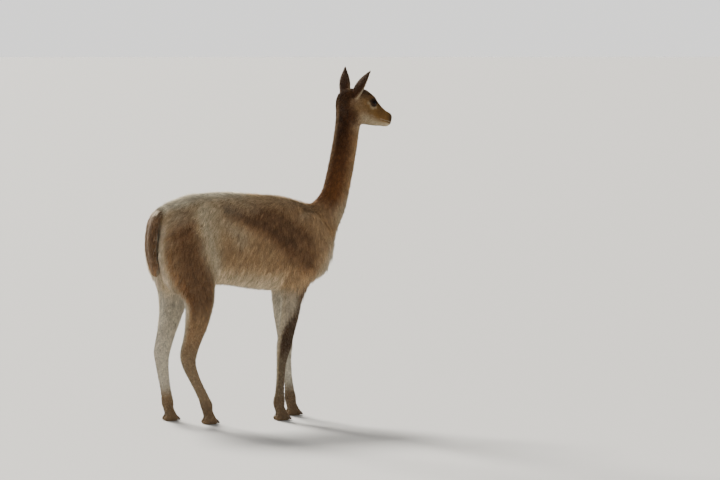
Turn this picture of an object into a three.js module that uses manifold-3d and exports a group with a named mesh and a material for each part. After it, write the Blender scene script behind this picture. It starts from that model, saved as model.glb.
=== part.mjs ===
// A life-size standing vicuna, as a still museum model. Millimetres, +Z up, the animal faces +X, its left is +Y.
// The body is one smooth field of blended forms, meshed node by node and parted by thin plane cuts.
import * as THREE from "three";
import { mergeVertices } from "three/addons/utils/BufferGeometryUtils.js";
import Module from "manifold-3d";

const wasm = await Module();
wasm.setup();

// Driving dimensions
const GAP = 0.3; // left between two nodes that meet
const MARGIN = 0.15; // added to the gap where the two faces are curved
const LEG_SPREAD = { front: 71, hind: 83 }; // from the middle plane to a leg's shaft
const HEAD_AT = [467, 0, 1249]; // the joint of head and neck
const HEAD_YAW = 14; // degrees, the head looks a little to its left
const HEAD_PITCH = 19.3; // degrees, the muzzle hangs below the level
const EYE_RADIUS = 16.5;
const FLOOR = 0;

// How far two forms melt into each other where they meet
const NECK_BLEND = 56;
const MASS_BLEND = 50;
const LEG_BLEND = 36;
const HEAD_BLEND = 12;
const THROAT_BLEND = 22;

// Mesh fineness
const TORSO_CELL = 28.5;
const NECK_SIDES = 18;
const LEG_SIDES = 12;
const HEAD_SIDES = 24;

// Stations are [x, y, z, half depth, half width, widening]: the half depth lies along the form's front axis, and a
// positive widening makes the section broader towards that axis.
const TRUNK = [
  [-300, 0, 724, 153, 102, 0],
  [-220, 0, 722, 181, 129, -0.06],
  [-140, 0, 726, 186, 138, -0.1],
  [-60, 0, 728, 187, 138, -0.1],
  [20, 0, 718, 190, 142, -0.1],
  [100, 0, 709, 193, 144, -0.12],
  [180, 0, 701, 190, 140, -0.14],
  [250, 0, 695, 175, 128, -0.14],
  [308, 0, 693, 146, 104, -0.1],
];
const TRUNK_ENDS = [52, 80]; // how far the rump and the chest round out past the end stations

const NECK = [
  [285, 0, 715, 100, 92],
  [335, 0, 775, 84, 80],
  [376, 0, 830, 70, 66],
  [400, 0, 880, 60, 56],
  [416, 0, 940, 56, 52],
  [429, 0, 1000, 54.5, 50],
  [441, 0, 1060, 53, 49],
  [451, 0, 1120, 52, 48],
  [459, 0, 1180, 52, 48],
  [464, 0, 1228, 53, 48],
  [467, 0, 1262, 50, 45],
];

// Muscle masses on each side: centre x, y, z, radii along x, y, z, and the tilt about Y in degrees
const MASSES = [
  { name: "haunch", at: [-246, 76, 668], radii: [108, 56, 150], tilt: -12 },
  { name: "buttock", at: [-268, 50, 655], radii: [66, 52, 138], tilt: 6 },
  { name: "shoulder", at: [246, 80, 690], radii: [82, 50, 138], tilt: 14 },
];

// Each leg from inside the body down to its fetlock, with y for the left side
const FRONT = LEG_SPREAD.front;
const HIND = LEG_SPREAD.hind;
const LEGS = {
  front_right: {
    side: -1,
    stations: [
      [258, FRONT + 7, 700, 66, 42],
      [235, FRONT + 12, 635, 62, 43],
      [212, FRONT + 10, 570, 56, 42],
      [196, FRONT + 6, 520, 50, 39],
      [188, FRONT + 3, 470, 45, 35],
      [179, FRONT + 1, 405, 39, 31],
      [168, FRONT, 347, 34, 28],
      [157, FRONT, 290, 30.5, 27],
      [148, FRONT, 240, 22, 20],
      [144, FRONT, 190, 18.5, 17],
      [141, FRONT, 140, 18, 17],
      [138, FRONT, 95, 20.5, 19],
      [136, FRONT, 68, 23.5, 22],
    ],
  },
  front_left: {
    side: 1,
    stations: [
      [258, FRONT + 7, 700, 66, 42],
      [238, FRONT + 12, 635, 62, 43],
      [220, FRONT + 10, 570, 56, 42],
      [208, FRONT + 6, 520, 50, 39],
      [204, FRONT + 3, 470, 45, 35],
      [207, FRONT + 1, 405, 39, 31],
      [213, FRONT, 345, 34, 28],
      [218, FRONT, 287, 30, 27],
      [221, FRONT, 237, 22, 20],
      [225, FRONT, 188, 18.5, 17],
      [230, FRONT, 140, 18, 17],
      [235, FRONT, 95, 20.5, 19],
      [238, FRONT, 68, 23.5, 22],
    ],
  },
  hind_right: {
    side: -1,
    stations: [
      [-262, HIND - 5, 720, 96, 50],
      [-240, HIND + 5, 640, 96, 52],
      [-214, HIND + 9, 560, 80, 47],
      [-200, HIND + 7, 490, 64, 42],
      [-206, HIND + 4, 428, 54, 36],
      [-215, HIND + 2, 380, 46, 31],
      [-232, HIND + 1, 325, 38, 27],
      [-246, HIND, 272, 35, 25],
      [-241, HIND, 230, 28, 22],
      [-223, HIND, 185, 23, 19],
      [-201, HIND, 140, 21, 18],
      [-180, HIND, 97, 22, 19.5],
      [-170, HIND, 70, 24, 22],
    ],
  },
  hind_left: {
    side: 1,
    stations: [
      [-275, HIND - 5, 720, 96, 50],
      [-262, HIND + 5, 640, 96, 52],
      [-246, HIND + 9, 560, 80, 47],
      [-248, HIND + 7, 490, 65, 41],
      [-260, HIND + 4, 428, 51, 36],
      [-273, HIND + 2, 377, 43, 31],
      [-287, HIND + 1, 325, 37, 28],
      [-299, HIND, 275, 34, 26],
      [-299, HIND, 232, 28, 23],
      [-294, HIND, 185, 24, 20.5],
      [-287, HIND, 140, 22, 19],
      [-280, HIND, 97, 22.5, 20],
      [-276, HIND, 68, 24, 22],
    ],
  },
};

const TAIL = [
  [-312, 0, 840, 15, 28],
  [-341, 0, 822, 18, 38],
  [-361, 0, 784, 19, 47],
  [-368, 0, 734, 20, 52],
  [-366, 0, 682, 20, 52],
  [-360, 0, 632, 17, 45],
  [-353, 0, 592, 12, 30],
];
const TAIL_ENDS = [8, 16];

// The head in its own frame: x towards the muzzle, z up, from the joint with the neck
const HEAD = [
  [-18, 0, 6, 51, 43],
  [12, 0, 6, 65, 49, 0.05],
  [46, 0, 6, 72, 52, 0.1],
  [82, 0, 3, 62.5, 49, 0.14],
  [114, 0, 0, 52.5, 39, 0],
  [143, 0, -2, 43, 32, -0.12],
  [168, 0, -2, 35, 28.5, -0.14],
  [187, 0, -3, 29.5, 26.5, -0.1],
];
const HEAD_ENDS = [36, 20];
const HEAD_MASSES = [
  { name: "brow", at: [76, 34, 46], radii: [25, 14, 12], tilt: 25 },
  { name: "cheek", at: [44, 34, -27], radii: [40, 20, 40], tilt: 0 },
  { name: "lip", at: [190, 12, -10], radii: [16, 15, 15], tilt: 0 },
  { name: "nostril", at: [190, 12, 12], radii: [17, 11, 12], tilt: 20 },
];
const EYE_AT = [79, 36.5, 31];

// Small maths
const vec = (x, y, z) => new THREE.Vector3(x, y, z);
const mix = (a, b, t) => a + (b - a) * t;
const clamp = (v, low, high) => Math.max(low, Math.min(high, v));
const radians = THREE.MathUtils.degToRad;

function blend(a, b, reach) {
  const h = Math.max(reach - Math.abs(a - b), 0) / reach;
  return Math.min(a, b) - (h * h * reach) / 4;
}

// A bent form of changing oval section. Its distance is signed: negative inside.
function limb(stations, { ends = [20, 20], steps = 5, power = 2.2 } = {}) {
  const path = new THREE.CatmullRomCurve3(stations.map(([x, y, z]) => vec(x, y, z)), false, "catmullrom");
  const sizes = new THREE.CatmullRomCurve3(
    stations.map(([, , , depth, width, widening = 0]) => vec(depth, width, widening)), false, "catmullrom",
  );
  const count = (stations.length - 1) * steps;
  const rows = [];
  for (let i = 0; i <= count; i++) {
    const along = path.getTangent(i / count);
    const side = vec(0, 1, 0).addScaledVector(along, -along.y).normalize();
    const front = vec(0, 0, 0).crossVectors(along, side);
    rows.push({ at: path.getPoint(i / count), along, side, front, size: sizes.getPoint(i / count) });
  }
  const distance = (x, y, z) => {
    let best = Infinity;
    let row = 0;
    let share = 0;
    for (let i = 0; i < count; i++) {
      const o = rows[i].at;
      const e = rows[i + 1].at;
      const ex = e.x - o.x;
      const ey = e.y - o.y;
      const ez = e.z - o.z;
      const s = clamp(((x - o.x) * ex + (y - o.y) * ey + (z - o.z) * ez) / (ex * ex + ey * ey + ez * ez), 0, 1);
      const far = (x - o.x - s * ex) ** 2 + (y - o.y - s * ey) ** 2 + (z - o.z - s * ez) ** 2;
      if (far < best) {
        best = far;
        row = i;
        share = s;
      }
    }
    const p = rows[row];
    const q = rows[row + 1];
    const d = [x - mix(p.at.x, q.at.x, share), y - mix(p.at.y, q.at.y, share), z - mix(p.at.z, q.at.z, share)];
    const part = (axis) =>
      d[0] * mix(p[axis].x, q[axis].x, share) + d[1] * mix(p[axis].y, q[axis].y, share) +
      d[2] * mix(p[axis].z, q[axis].z, share);
    const u = part("front") / mix(p.size.x, q.size.x, share);
    const width = mix(p.size.y, q.size.y, share) * (1 + mix(p.size.z, q.size.z, share) * clamp(u, -1, 1));
    const v = part("side") / width;
    let reach = (Math.abs(u) ** power + Math.abs(v) ** power) ** (1 / power);
    if (row === 0 && share === 0) reach = Math.hypot(reach, part("along") / ends[0]);
    if (row === count - 1 && share === 1) reach = Math.hypot(reach, part("along") / ends[1]);
    return reach < 1e-6 ? -Math.min(width, p.size.x) : Math.sqrt(best) * (1 - 1 / reach);
  };
  return { rows, distance };
}

// An egg-shaped mass, tilted about Y
function mass({ at, radii, tilt }, side) {
  const c = Math.cos(radians(tilt));
  const s = Math.sin(radians(tilt));
  return (x, y, z) => {
    const d = [x - at[0], y - at[1] * side, z - at[2]];
    const far = Math.hypot(...d);
    const reach = Math.hypot((d[0] * c - d[2] * s) / radii[0], d[1] / radii[1], (d[0] * s + d[2] * c) / radii[2]);
    return reach < 1e-6 ? -Math.min(...radii) : far * (1 - 1 / reach);
  };
}

// The forms
const trunk = limb(TRUNK, { ends: TRUNK_ENDS, power: 2.15 });
const neck = limb(NECK, { ends: [40, 40] });
const tail = limb(TAIL, { ends: TAIL_ENDS });
const headForm = limb(HEAD, { ends: HEAD_ENDS, power: 2.25 });
const masses = MASSES.flatMap((m) => [mass(m, 1), mass(m, -1)]);
const headMasses = HEAD_MASSES.flatMap((m) => [mass(m, 1), mass(m, -1)]);
for (const leg of Object.values(LEGS)) {
  leg.form = limb(leg.stations.map(([x, y, z, ...size]) => [x, y * leg.side, z, ...size]), { ends: [30, 12] });
}

const headMatrix = new THREE.Matrix4()
  .makeTranslation(...HEAD_AT)
  .multiply(new THREE.Matrix4().makeRotationZ(radians(HEAD_YAW)))
  .multiply(new THREE.Matrix4().makeRotationY(radians(HEAD_PITCH)));
const headInverse = headMatrix.clone().invert();

// Fields: the signed distance of a whole, as a function of a point
const trunkField = (x, y, z) =>
  masses.reduce(
    (d, one) => blend(d, one(x, y, z), MASS_BLEND),
    blend(trunk.distance(x, y, z), neck.distance(x, y, z), NECK_BLEND),
  );
const bodyField = (x, y, z) => {
  const d = trunkField(x, y, z);
  return Math.min(...Object.values(LEGS).map((leg) => blend(d, leg.form.distance(x, y, z), LEG_BLEND)));
};
const skullField = (x, y, z) =>
  headMasses.reduce((d, one) => blend(d, one(x, y, z), HEAD_BLEND), headForm.distance(x, y, z));
const headField = (x, y, z) => {
  const p = vec(x, y, z).applyMatrix4(headInverse);
  return blend(skullField(p.x, p.y, p.z), neck.distance(x, y, z), THROAT_BLEND);
};

function gradient(field, [x, y, z], step = 0.5) {
  const g = vec(
    field(x + step, y, z) - field(x - step, y, z),
    field(x, y + step, z) - field(x, y - step, z),
    field(x, y, z + step) - field(x, y, z - step),
  );
  return g.divideScalar(2 * step);
}

// Moves a point along the field's slope until the field has the asked level there.
function settle(field, point, level = 0, rounds = 3, furthest = Infinity) {
  let p = [...point];
  for (let i = 0; i < rounds; i++) {
    const g = gradient(field, p);
    const move = (level - field(...p)) / Math.max(g.lengthSq(), 0.2);
    p = [p[0] + g.x * move, p[1] + g.y * move, p[2] + g.z * move];
  }
  return Math.hypot(p[0] - point[0], p[1] - point[1], p[2] - point[2]) > furthest ? point : p;
}

// Meshes are { points: [[x, y, z]...], faces: [[a, b, c]...] } until they become solids.
const solidOf = ({ points, faces }) =>
  new wasm.Manifold(
    new wasm.Mesh({
      numProp: 3,
      vertProperties: new Float32Array(points.flat()),
      triVerts: new Uint32Array(faces.flat()),
    }),
  );

// Meshes a field on a cubic grid: one point in each cell that the surface passes, settled onto it.
function net(field, low, high, cell, level = 0) {
  const n = [0, 1, 2].map((i) => Math.ceil((high[i] - low[i]) / cell) + 1);
  const at = (i, j, k) => (i * n[1] + j) * n[2] + k;
  const value = new Float32Array(n[0] * n[1] * n[2]);
  for (let i = 0; i < n[0]; i++)
    for (let j = 0; j < n[1]; j++)
      for (let k = 0; k < n[2]; k++) {
        const rim = [i, j, k].some((v, axis) => v === 0 || v === n[axis] - 1);
        const d = field(low[0] + i * cell, low[1] + j * cell, low[2] + k * cell);
        value[at(i, j, k)] = rim ? Math.max(d, cell / 2) : d;
      }
  const corner = (c) => [c & 1, (c >> 1) & 1, (c >> 2) & 1];
  const cellPoint = new Map();
  const points = [];
  for (let i = 0; i < n[0] - 1; i++)
    for (let j = 0; j < n[1] - 1; j++)
      for (let k = 0; k < n[2] - 1; k++) {
        const sum = [0, 0, 0];
        let crossings = 0;
        for (let c = 0; c < 8; c++)
          for (let axis = 0; axis < 3; axis++) {
            if (c & (1 << axis)) continue;
            const a = corner(c);
            const b = corner(c | (1 << axis));
            const va = value[at(i + a[0], j + a[1], k + a[2])];
            const vb = value[at(i + b[0], j + b[1], k + b[2])];
            if (va < 0 === vb < 0) continue;
            const t = va / (va - vb);
            for (let m = 0; m < 3; m++) sum[m] += mix(a[m], b[m], t);
            crossings++;
          }
        if (!crossings) continue;
        const rough = [i, j, k].map((v, m) => low[m] + (v + sum[m] / crossings) * cell);
        cellPoint.set(at(i, j, k), points.length);
        points.push(settle(field, rough, level, 3, cell));
      }
  const faces = [];
  const quad = (cells, turned) => {
    const [a, b, c, d] = cells.map((one) => cellPoint.get(at(...one)));
    const far = (p, q) => Math.hypot(...points[p].map((v, m) => v - points[q][m]));
    const split = far(a, c) < far(b, d) ? [[a, b, c], [a, c, d]] : [[a, b, d], [b, c, d]];
    faces.push(...split.map((f) => (turned ? [f[0], f[2], f[1]] : f)));
  };
  for (let i = 0; i < n[0] - 1; i++)
    for (let j = 0; j < n[1] - 1; j++)
      for (let k = 0; k < n[2] - 1; k++) {
        const here = value[at(i, j, k)] < 0;
        if (j && k && here !== value[at(i + 1, j, k)] < 0)
          quad([[i, j - 1, k - 1], [i, j, k - 1], [i, j, k], [i, j - 1, k]], !here);
        if (i && k && here !== value[at(i, j + 1, k)] < 0)
          quad([[i - 1, j, k - 1], [i - 1, j, k], [i, j, k], [i, j, k - 1]], !here);
        if (i && j && here !== value[at(i, j, k + 1)] < 0)
          quad([[i - 1, j - 1, k], [i, j - 1, k], [i, j, k], [i - 1, j, k]], !here);
      }
  return { points, faces };
}

// How far the surface lies from a centre in one direction
function reachOf(field, from, way, furthest, level) {
  const step = 3;
  const value = (r) => field(from.x + way.x * r, from.y + way.y * r, from.z + way.z * r) - level;
  let far = step;
  while (far < furthest && value(far) < 0) far += step;
  if (far >= furthest) return furthest;
  let near = far - step;
  for (let i = 0; i < 12; i++) {
    const middle = (near + far) / 2;
    if (value(middle) < 0) near = middle;
    else far = middle;
  }
  return (near + far) / 2;
}

// Even shares of a form's length, with any closer ones after them
const evenly = (from, to, rings, then = []) =>
  [...Array(rings + 1).keys()].map((i) => mix(from, to, i / rings)).concat(then);

// Meshes a tube-like stretch of a field in rings round a form's own axis. A round end gets further rings, tipped by
// the angles in starting or ending, up to a pole.
function tube(field, form, sides, { shares, furthest, level = 0, starting = [], ending = [] }) {
  const from = shares[0];
  const to = shares[shares.length - 1];
  const last = form.rows.length - 1;
  const row = (share) => form.rows[Math.round(share * last)];
  const points = [];
  const faces = [];
  const starts = [];
  const ring = ({ at, along, side, front }, lift) => {
    starts.push(points.length);
    for (let j = 0; j < sides; j++) {
      const angle = (2 * Math.PI * j) / sides;
      const way = front.clone().multiplyScalar(Math.cos(angle)).addScaledVector(side, Math.sin(angle));
      way.multiplyScalar(Math.cos(lift)).addScaledVector(along, Math.sin(lift));
      points.push(at.clone().addScaledVector(way, reachOf(field, at, way, furthest, level)).toArray());
    }
  };
  for (const lift of starting) ring(row(from), radians(-lift));
  for (const share of shares) ring(row(share), 0);
  for (const lift of ending) ring(row(to), radians(lift));
  for (let r = 0; r + 1 < starts.length; r++)
    for (let j = 0; j < sides; j++) {
      const next = (j + 1) % sides;
      const [a, b, c, d] = [starts[r] + j, starts[r] + next, starts[r + 1] + next, starts[r + 1] + j];
      faces.push([a, c, b], [a, d, c]);
    }
  const lid = (start, { at, along }, turned, round) => {
    const way = along.clone().multiplyScalar(turned ? -1 : 1);
    const tip = round ? reachOf(field, at, way, furthest, level) : 0;
    const pole = points.push(at.clone().addScaledVector(way, tip).toArray()) - 1;
    for (let j = 0; j < sides; j++) {
      const pair = [start + j, start + ((j + 1) % sides)];
      faces.push(turned ? [...pair, pole] : [pair[1], pair[0], pole]);
    }
  };
  lid(starts[0], row(from), true, starting.length > 0);
  lid(starts[starts.length - 1], row(to), false, ending.length > 0);
  return solidOf({ points, faces });
}

// A three.js geometry as a solid, after a matrix
function carve(geometry, matrix = new THREE.Matrix4()) {
  const bare = geometry.clone().applyMatrix4(matrix);
  bare.deleteAttribute("normal");
  bare.deleteAttribute("uv");
  const g = mergeVertices(bare, 1e-4);
  const vertProperties = g.attributes.position.array;
  return new wasm.Manifold(new wasm.Mesh({ numProp: 3, vertProperties, triVerts: new Uint32Array(g.index.array) }));
}

// All that lies beyond a plane, as a large box
function beyond(point, normal, shift = 0) {
  const size = 4000;
  const n = vec(...normal).normalize();
  const turn = new THREE.Quaternion().setFromUnitVectors(vec(0, 0, 1), n);
  const centre = vec(...point).addScaledVector(n, size / 2 + shift);
  return carve(
    new THREE.BoxGeometry(size, size, size),
    new THREE.Matrix4().compose(centre, turn, vec(1, 1, 1)),
  );
}

function box(low, high) {
  const size = high.map((v, i) => v - low[i]);
  const middle = high.map((v, i) => (v + low[i]) / 2);
  return carve(new THREE.BoxGeometry(...size), new THREE.Matrix4().makeTranslation(...middle));
}

const union = (solids) => solids.reduce((all, one) => all.add(one));
const largest = (solid) => solid.decompose().reduce((a, b) => (b.volume() > a.volume() ? b : a));

// Cuts between nodes
const NECK_CUT = { point: [355, 0, 802], normal: [0.775, 0, 0.632] };
const HEAD_CUT = { point: [478, 0, 1228], normal: [0.724, 0, 0.69] };
const NECK_OVERRUN = 12; // how far the neck is meshed past its cut to the head
const TORSO_SPACE = { low: [-400, -180, 462], high: [435, 180, 960] };
const LEG_TOP = { front: 496, hind: 534 };
const LEG_ROOM = { front: [100, 320], hind: [-420, -100] }; // from and to along x, cleared under the leg's top
const LEG_INNER = 6; // no leg comes nearer to the middle plane than this
const LEG_OUTER = 300;
const KNEE = { front: 285, hind: 262 };
const FETLOCK = 92;
const below = (z) => beyond([0, 0, z], [0, 0, -1]);
const above = (z) => beyond([0, 0, z], [0, 0, 1]);

function makeTorso() {
  const { low, high } = TORSO_SPACE;
  const whole = (level) => solidOf(net(bodyField, low, high, TORSO_CELL, level));
  const legRoom = ([from, to], top) => box([from, low[1], 0], [to, high[1], top]);
  const solid = largest(
    union([whole(0), ...chestLocks(bodyField), ...bellyLocks(bodyField)])
      .subtract(beyond(NECK_CUT.point, NECK_CUT.normal))
      .subtract(legRoom(LEG_ROOM.hind, LEG_TOP.hind))
      .subtract(legRoom(LEG_ROOM.front, LEG_TOP.front)),
  );
  return { solid, grown: whole(GAP + MARGIN) };
}

function makeNeck() {
  const { point, normal } = HEAD_CUT;
  const pastCut = (...p) => p.reduce((sum, v, i) => sum + (v - point[i]) * normal[i], -NECK_OVERRUN);
  const join = (x, y, z) => Math.max(Math.min(bodyField(x, y, z), headField(x, y, z)), pastCut(x, y, z));
  const closer = [0.78, 0.82, 0.84, 0.86, 0.88, 0.9, 0.92];
  const shares = evenly(0.09, 0.74, 11, closer);
  const whole = tube(join, neck, NECK_SIDES, { shares, furthest: 150, ending: [20, 42, 65] });
  return largest(
    whole
      .intersect(beyond(NECK_CUT.point, NECK_CUT.normal, GAP))
      .subtract(beyond(HEAD_CUT.point, HEAD_CUT.normal)),
  );
}

// The head, worked in its own frame
const LID = 2.4; // thickness of the lids over the eye
const EYE_OPEN_FROM = 4; // where the opening between the lids starts, out from the eye's centre
const EYE_CORNERS = [[-16, 1.5], [16.5, -3]]; // rear and front corner of the opening
const LID_ARCH = [13, -11.5]; // how far the upper and the lower lid bow
const EYE_FACES = [9, 6]; // degrees that the opening is turned to the front and upwards
const MOUTH = { at: [178, 0, -13], tilt: -4, length: 42, steps: 3, depth: 3.6, height: 2 };
const NOSTRIL = { at: [204, 11, 10], radii: [5, 2.4, 4], turn: [-30, 35] };
const local = (x, y, z) => {
  const p = vec(x, y, z).applyMatrix4(headMatrix);
  return headField(p.x, p.y, p.z);
};
const onHead = (solid) => solid.transform(headMatrix.elements);

function placed(at, [rx, ry, rz] = [0, 0, 0], scale = [1, 1, 1]) {
  const turn = new THREE.Euler(radians(rx), radians(ry), radians(rz), "ZYX");
  return new THREE.Matrix4().compose(vec(...at), new THREE.Quaternion().setFromEuler(turn), vec(...scale));
}

function ball(at, radius, detail = 3, turn = undefined, scale = undefined) {
  return carve(new THREE.IcosahedronGeometry(radius, detail), placed(at, turn, scale));
}

// The opening between the lids as an almond-shaped prism that points outwards
function eyeOpening(side) {
  const [rear, front] = EYE_CORNERS;
  const outline = new THREE.Shape();
  outline.moveTo(-rear[0] * side, rear[1]);
  outline.quadraticCurveTo(0, LID_ARCH[0] * 2, -front[0] * side, front[1]);
  outline.quadraticCurveTo(0, LID_ARCH[1] * 2, -rear[0] * side, rear[1]);
  const prism = new THREE.ExtrudeGeometry(outline, { depth: 30, bevelEnabled: false, curveSegments: 5 });
  const basis = new THREE.Matrix4().makeBasis(vec(-side, 0, 0), vec(0, 0, 1), vec(0, side, 0));
  const [x, y, z] = EYE_AT;
  const turned = placed([x, y * side, z], [EYE_FACES[1] * side, 0, -EYE_FACES[0] * side]).multiply(basis);
  return carve(prism, turned.multiply(new THREE.Matrix4().makeTranslation(0, 0, EYE_OPEN_FROM)));
}

// The line between the lips, cut round the muzzle by a flat plate that reaches a little under the surface
function mouthLine() {
  const tilt = placed(MOUTH.at, [0, MOUTH.tilt, 0]);
  const flat = (x, y, z) => {
    const p = vec(x, y, z).applyMatrix4(tilt);
    return skullField(p.x, p.y, p.z);
  };
  const inner = [];
  const outer = [];
  const turns = 7;
  for (let i = -MOUTH.steps; i <= turns + MOUTH.steps; i++) {
    const round = clamp(i / turns, 0, 1);
    const beside = i < 0 ? -i : Math.max(0, i - turns);
    const from = vec((-beside / MOUTH.steps) * MOUTH.length, 0, 0);
    const angle = Math.PI * (round - 0.5);
    const way = vec(Math.cos(angle), Math.sin(angle), 0);
    const reach = reachOf(flat, from, way, 60, 0);
    const depth = MOUTH.depth * (1 - 0.85 * (beside / MOUTH.steps) ** 2);
    inner.push([from.x + way.x * (reach - depth), way.y * (reach - depth)]);
    outer.push([from.x + way.x * (reach + 8), way.y * (reach + 8)]);
  }
  const outline = new THREE.Shape([...inner, ...outer.reverse()].map(([x, y]) => new THREE.Vector2(x, y)));
  const plate = new THREE.ExtrudeGeometry(outline, { depth: MOUTH.height, bevelEnabled: false });
  return carve(plate, tilt);
}

function makeHead() {
  const whole = (level) =>
    tube(local, headForm, HEAD_SIDES, {
      shares: evenly(0, 1, 20), furthest: 130, level, starting: [65, 42, 20], ending: [20, 40, 58, 75],
    });
  let skull = whole(0);
  const [x, y, z] = EYE_AT;
  for (const side of [-1, 1]) skull = skull.add(ball([x, y * side, z], EYE_RADIUS + LID, 2));
  for (const side of [-1, 1]) {
    skull = skull.subtract(eyeOpening(side)).subtract(ball([x, y * side, z], EYE_RADIUS + GAP, 2));
    const [nx, ny, nz] = NOSTRIL.at;
    const turn = [NOSTRIL.turn[0] * side, NOSTRIL.turn[1], 0];
    skull = skull.subtract(ball([nx, ny * side, nz], 1, 1, turn, NOSTRIL.radii));
  }
  skull = skull.subtract(mouthLine());
  const front = beyond(HEAD_CUT.point, HEAD_CUT.normal, GAP);
  return { solid: largest(onHead(skull).intersect(front)), grown: onHead(whole(GAP + MARGIN)) };
}

// Locks: flat tapered blades that follow the surface they grow from and part from it towards their tips
const LOCK_SINK = 13; // how deep a root starts under the surface
const LOCK_SHARES = [0, 0.3, 0.62, 0.86];
const LOCK_WIDTHS = [0.75, 1, 0.86, 0.48];
const LOCK_CLINGS = 0.75; // the share of its length along which a lock hugs the surface

// Random draws between two values that come out the same each time
function draws(seed) {
  let state = seed;
  return (low, high) => {
    state = (state * 1664525 + 1013904223) % 4294967296;
    return mix(low, high, state / 4294967296);
  };
}

function lock(field, start, { lie, length, width, thick, lift, droop = 0, twist = 0 }) {
  const points = [];
  const faces = [];
  const way = vec(...lie).normalize();
  const pull = vec(0, 0, -droop);
  let at = vec(...settle(field, start));
  let out = gradient(field, at.toArray()).normalize();
  const path = [];
  const steps = 12;
  for (let i = 0; i <= steps; i++) {
    const share = i / steps;
    const height = share < 0.3 ? mix(-LOCK_SINK, 1, share / 0.3) : mix(1, lift, (share - 0.3) / 0.7);
    path.push({ at: at.clone().addScaledVector(out, height), out: out.clone() });
    way.addScaledVector(out, -way.dot(out)).normalize();
    at.addScaledVector(way, length / steps);
    if (share < LOCK_CLINGS) {
      at = vec(...settle(field, at.toArray()));
      out = gradient(field, at.toArray()).normalize();
    } else {
      way.addScaledVector(pull, 1 / steps).normalize();
    }
  }
  for (const [i, share] of LOCK_SHARES.entries()) {
    const here = path[Math.round(share * steps)];
    const next = path[Math.min(steps, Math.round(share * steps) + 1)];
    const along = next.at.clone().sub(here.at).normalize();
    const across = vec(0, 0, 0).crossVectors(along, here.out).normalize();
    across.applyAxisAngle(along, radians(twist * share));
    const up = vec(0, 0, 0).crossVectors(across, along);
    const half = (width / 2) * LOCK_WIDTHS[i];
    const rise = (thick / 2) * (1 - 0.55 * share);
    for (const [a, b] of [[1, 0], [0, 1], [-1, 0], [0, -1]]) {
      points.push(here.at.clone().addScaledVector(across, a * half).addScaledVector(up, b * rise).toArray());
    }
    if (i === 0) continue;
    for (let j = 0; j < 4; j++) {
      const [a, b, c, d] = [j, (j + 1) % 4, ((j + 1) % 4) + 4, j + 4].map((k) => k + (i - 1) * 4);
      faces.push([a, b, c], [a, c, d]);
    }
  }
  const last = (LOCK_SHARES.length - 1) * 4;
  const tip = points.push(path[steps].at.toArray()) - 1;
  faces.push([2, 1, 0], [3, 2, 0]);
  for (let j = 0; j < 4; j++) faces.push([last + j, last + ((j + 1) % 4), tip]);
  const made = solidOf({ points, faces });
  return made.volume() < 0 ? solidOf({ points, faces: faces.map(([a, b, c]) => [a, c, b]) }) : made;
}

// Where locks grow: rows of starting points, with the way they lie and their sizes
function chestLocks(field) {
  const draw = draws(11);
  const made = [];
  for (const [row, height] of [706, 652, 600, 554].entries())
    for (let i = 0; i < 4 + (row % 2); i++) {
      const across = (i - (row % 2 ? 2 : 1.5)) * 42 + draw(-5, 5);
      const start = [400 - row * 18 - Math.abs(across) * 0.4, across, height + draw(-6, 6)];
      const lie = [draw(-0.05, 0.1), across * 0.002 + draw(-0.1, 0.1), -1];
      const size = { length: draw(84, 104), width: draw(54, 64), thick: 17, lift: draw(5, 10), droop: 0.3 };
      made.push(lock(field, start, { lie, ...size, twist: draw(-10, 10) }));
    }
  return made;
}

function bellyLocks(field) {
  const draw = draws(23);
  const made = [];
  for (const side of [-1, 1])
    for (let i = 0; i < 5; i++) {
      const start = [112 - i * 47 + draw(-6, 6), (92 + (i % 2) * 9) * side, 560];
      const lie = [-0.8, draw(-0.1, 0.1), -0.9];
      const size = { length: draw(72, 88), width: draw(50, 58), thick: 15, lift: draw(4, 8), droop: 0.25 };
      made.push(lock(field, start, { lie, ...size, twist: draw(-8, 8) }));
    }
  return made;
}

function thighLocks(field, name) {
  const { side, stations } = LEGS[name];
  const draw = draws(side > 0 ? 37 : 41);
  return [508, 460, 412].map((height, i) => {
    const near = stations.reduce((a, b) => (Math.abs(b[2] - height) < Math.abs(a[2] - height) ? b : a));
    const start = [near[0] - near[3], (near[1] + (i % 2 ? 12 : -12)) * side, height];
    const size = { length: draw(62, 74), width: draw(36, 44), thick: 12, lift: draw(3, 6), droop: 0.1 };
    return lock(field, start, { lie: [-0.1, draw(-0.1, 0.1), -1], ...size, twist: draw(-14, 14) });
  });
}

function tailLocks(field) {
  const draw = draws(53);
  const made = [];
  for (const [row, height] of [795, 735, 678, 622].entries())
    for (let i = 0; i < 3; i++) {
      const across = (i - 1 + (row % 2 ? 0.28 : -0.28)) * 34;
      const start = [-398, across, height + draw(-6, 6)];
      const size = { length: draw(78, 94), width: draw(40, 48), thick: 13, lift: draw(4, 8), droop: 0.3 };
      made.push(lock(field, start, { lie: [0, across * 0.004, -1], ...size, twist: draw(-10, 10) }));
    }
  return made;
}

function makeLeg(name) {
  const { form, side } = LEGS[name];
  const pair = name.split("_")[0];
  const whole = tube(bodyField, form, LEG_SIDES, { shares: evenly(0.12, 1, 21), furthest: 120 });
  const [inner, outer] = [LEG_INNER, LEG_OUTER].map((y) => y * side).sort((a, b) => a - b);
  const leg = whole.intersect(box([-500, inner, -50], [500, outer, LEG_TOP[pair] - GAP]));
  const grown = pair === "hind" ? union([leg, ...thighLocks(bodyField, name)]) : leg;
  return {
    upper: largest(grown.intersect(above(KNEE[pair] + GAP)).intersect(below(LEG_TOP[pair] - GAP))),
    lower: largest(leg.intersect(below(KNEE[pair])).intersect(above(FETLOCK + GAP))),
  };
}

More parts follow.
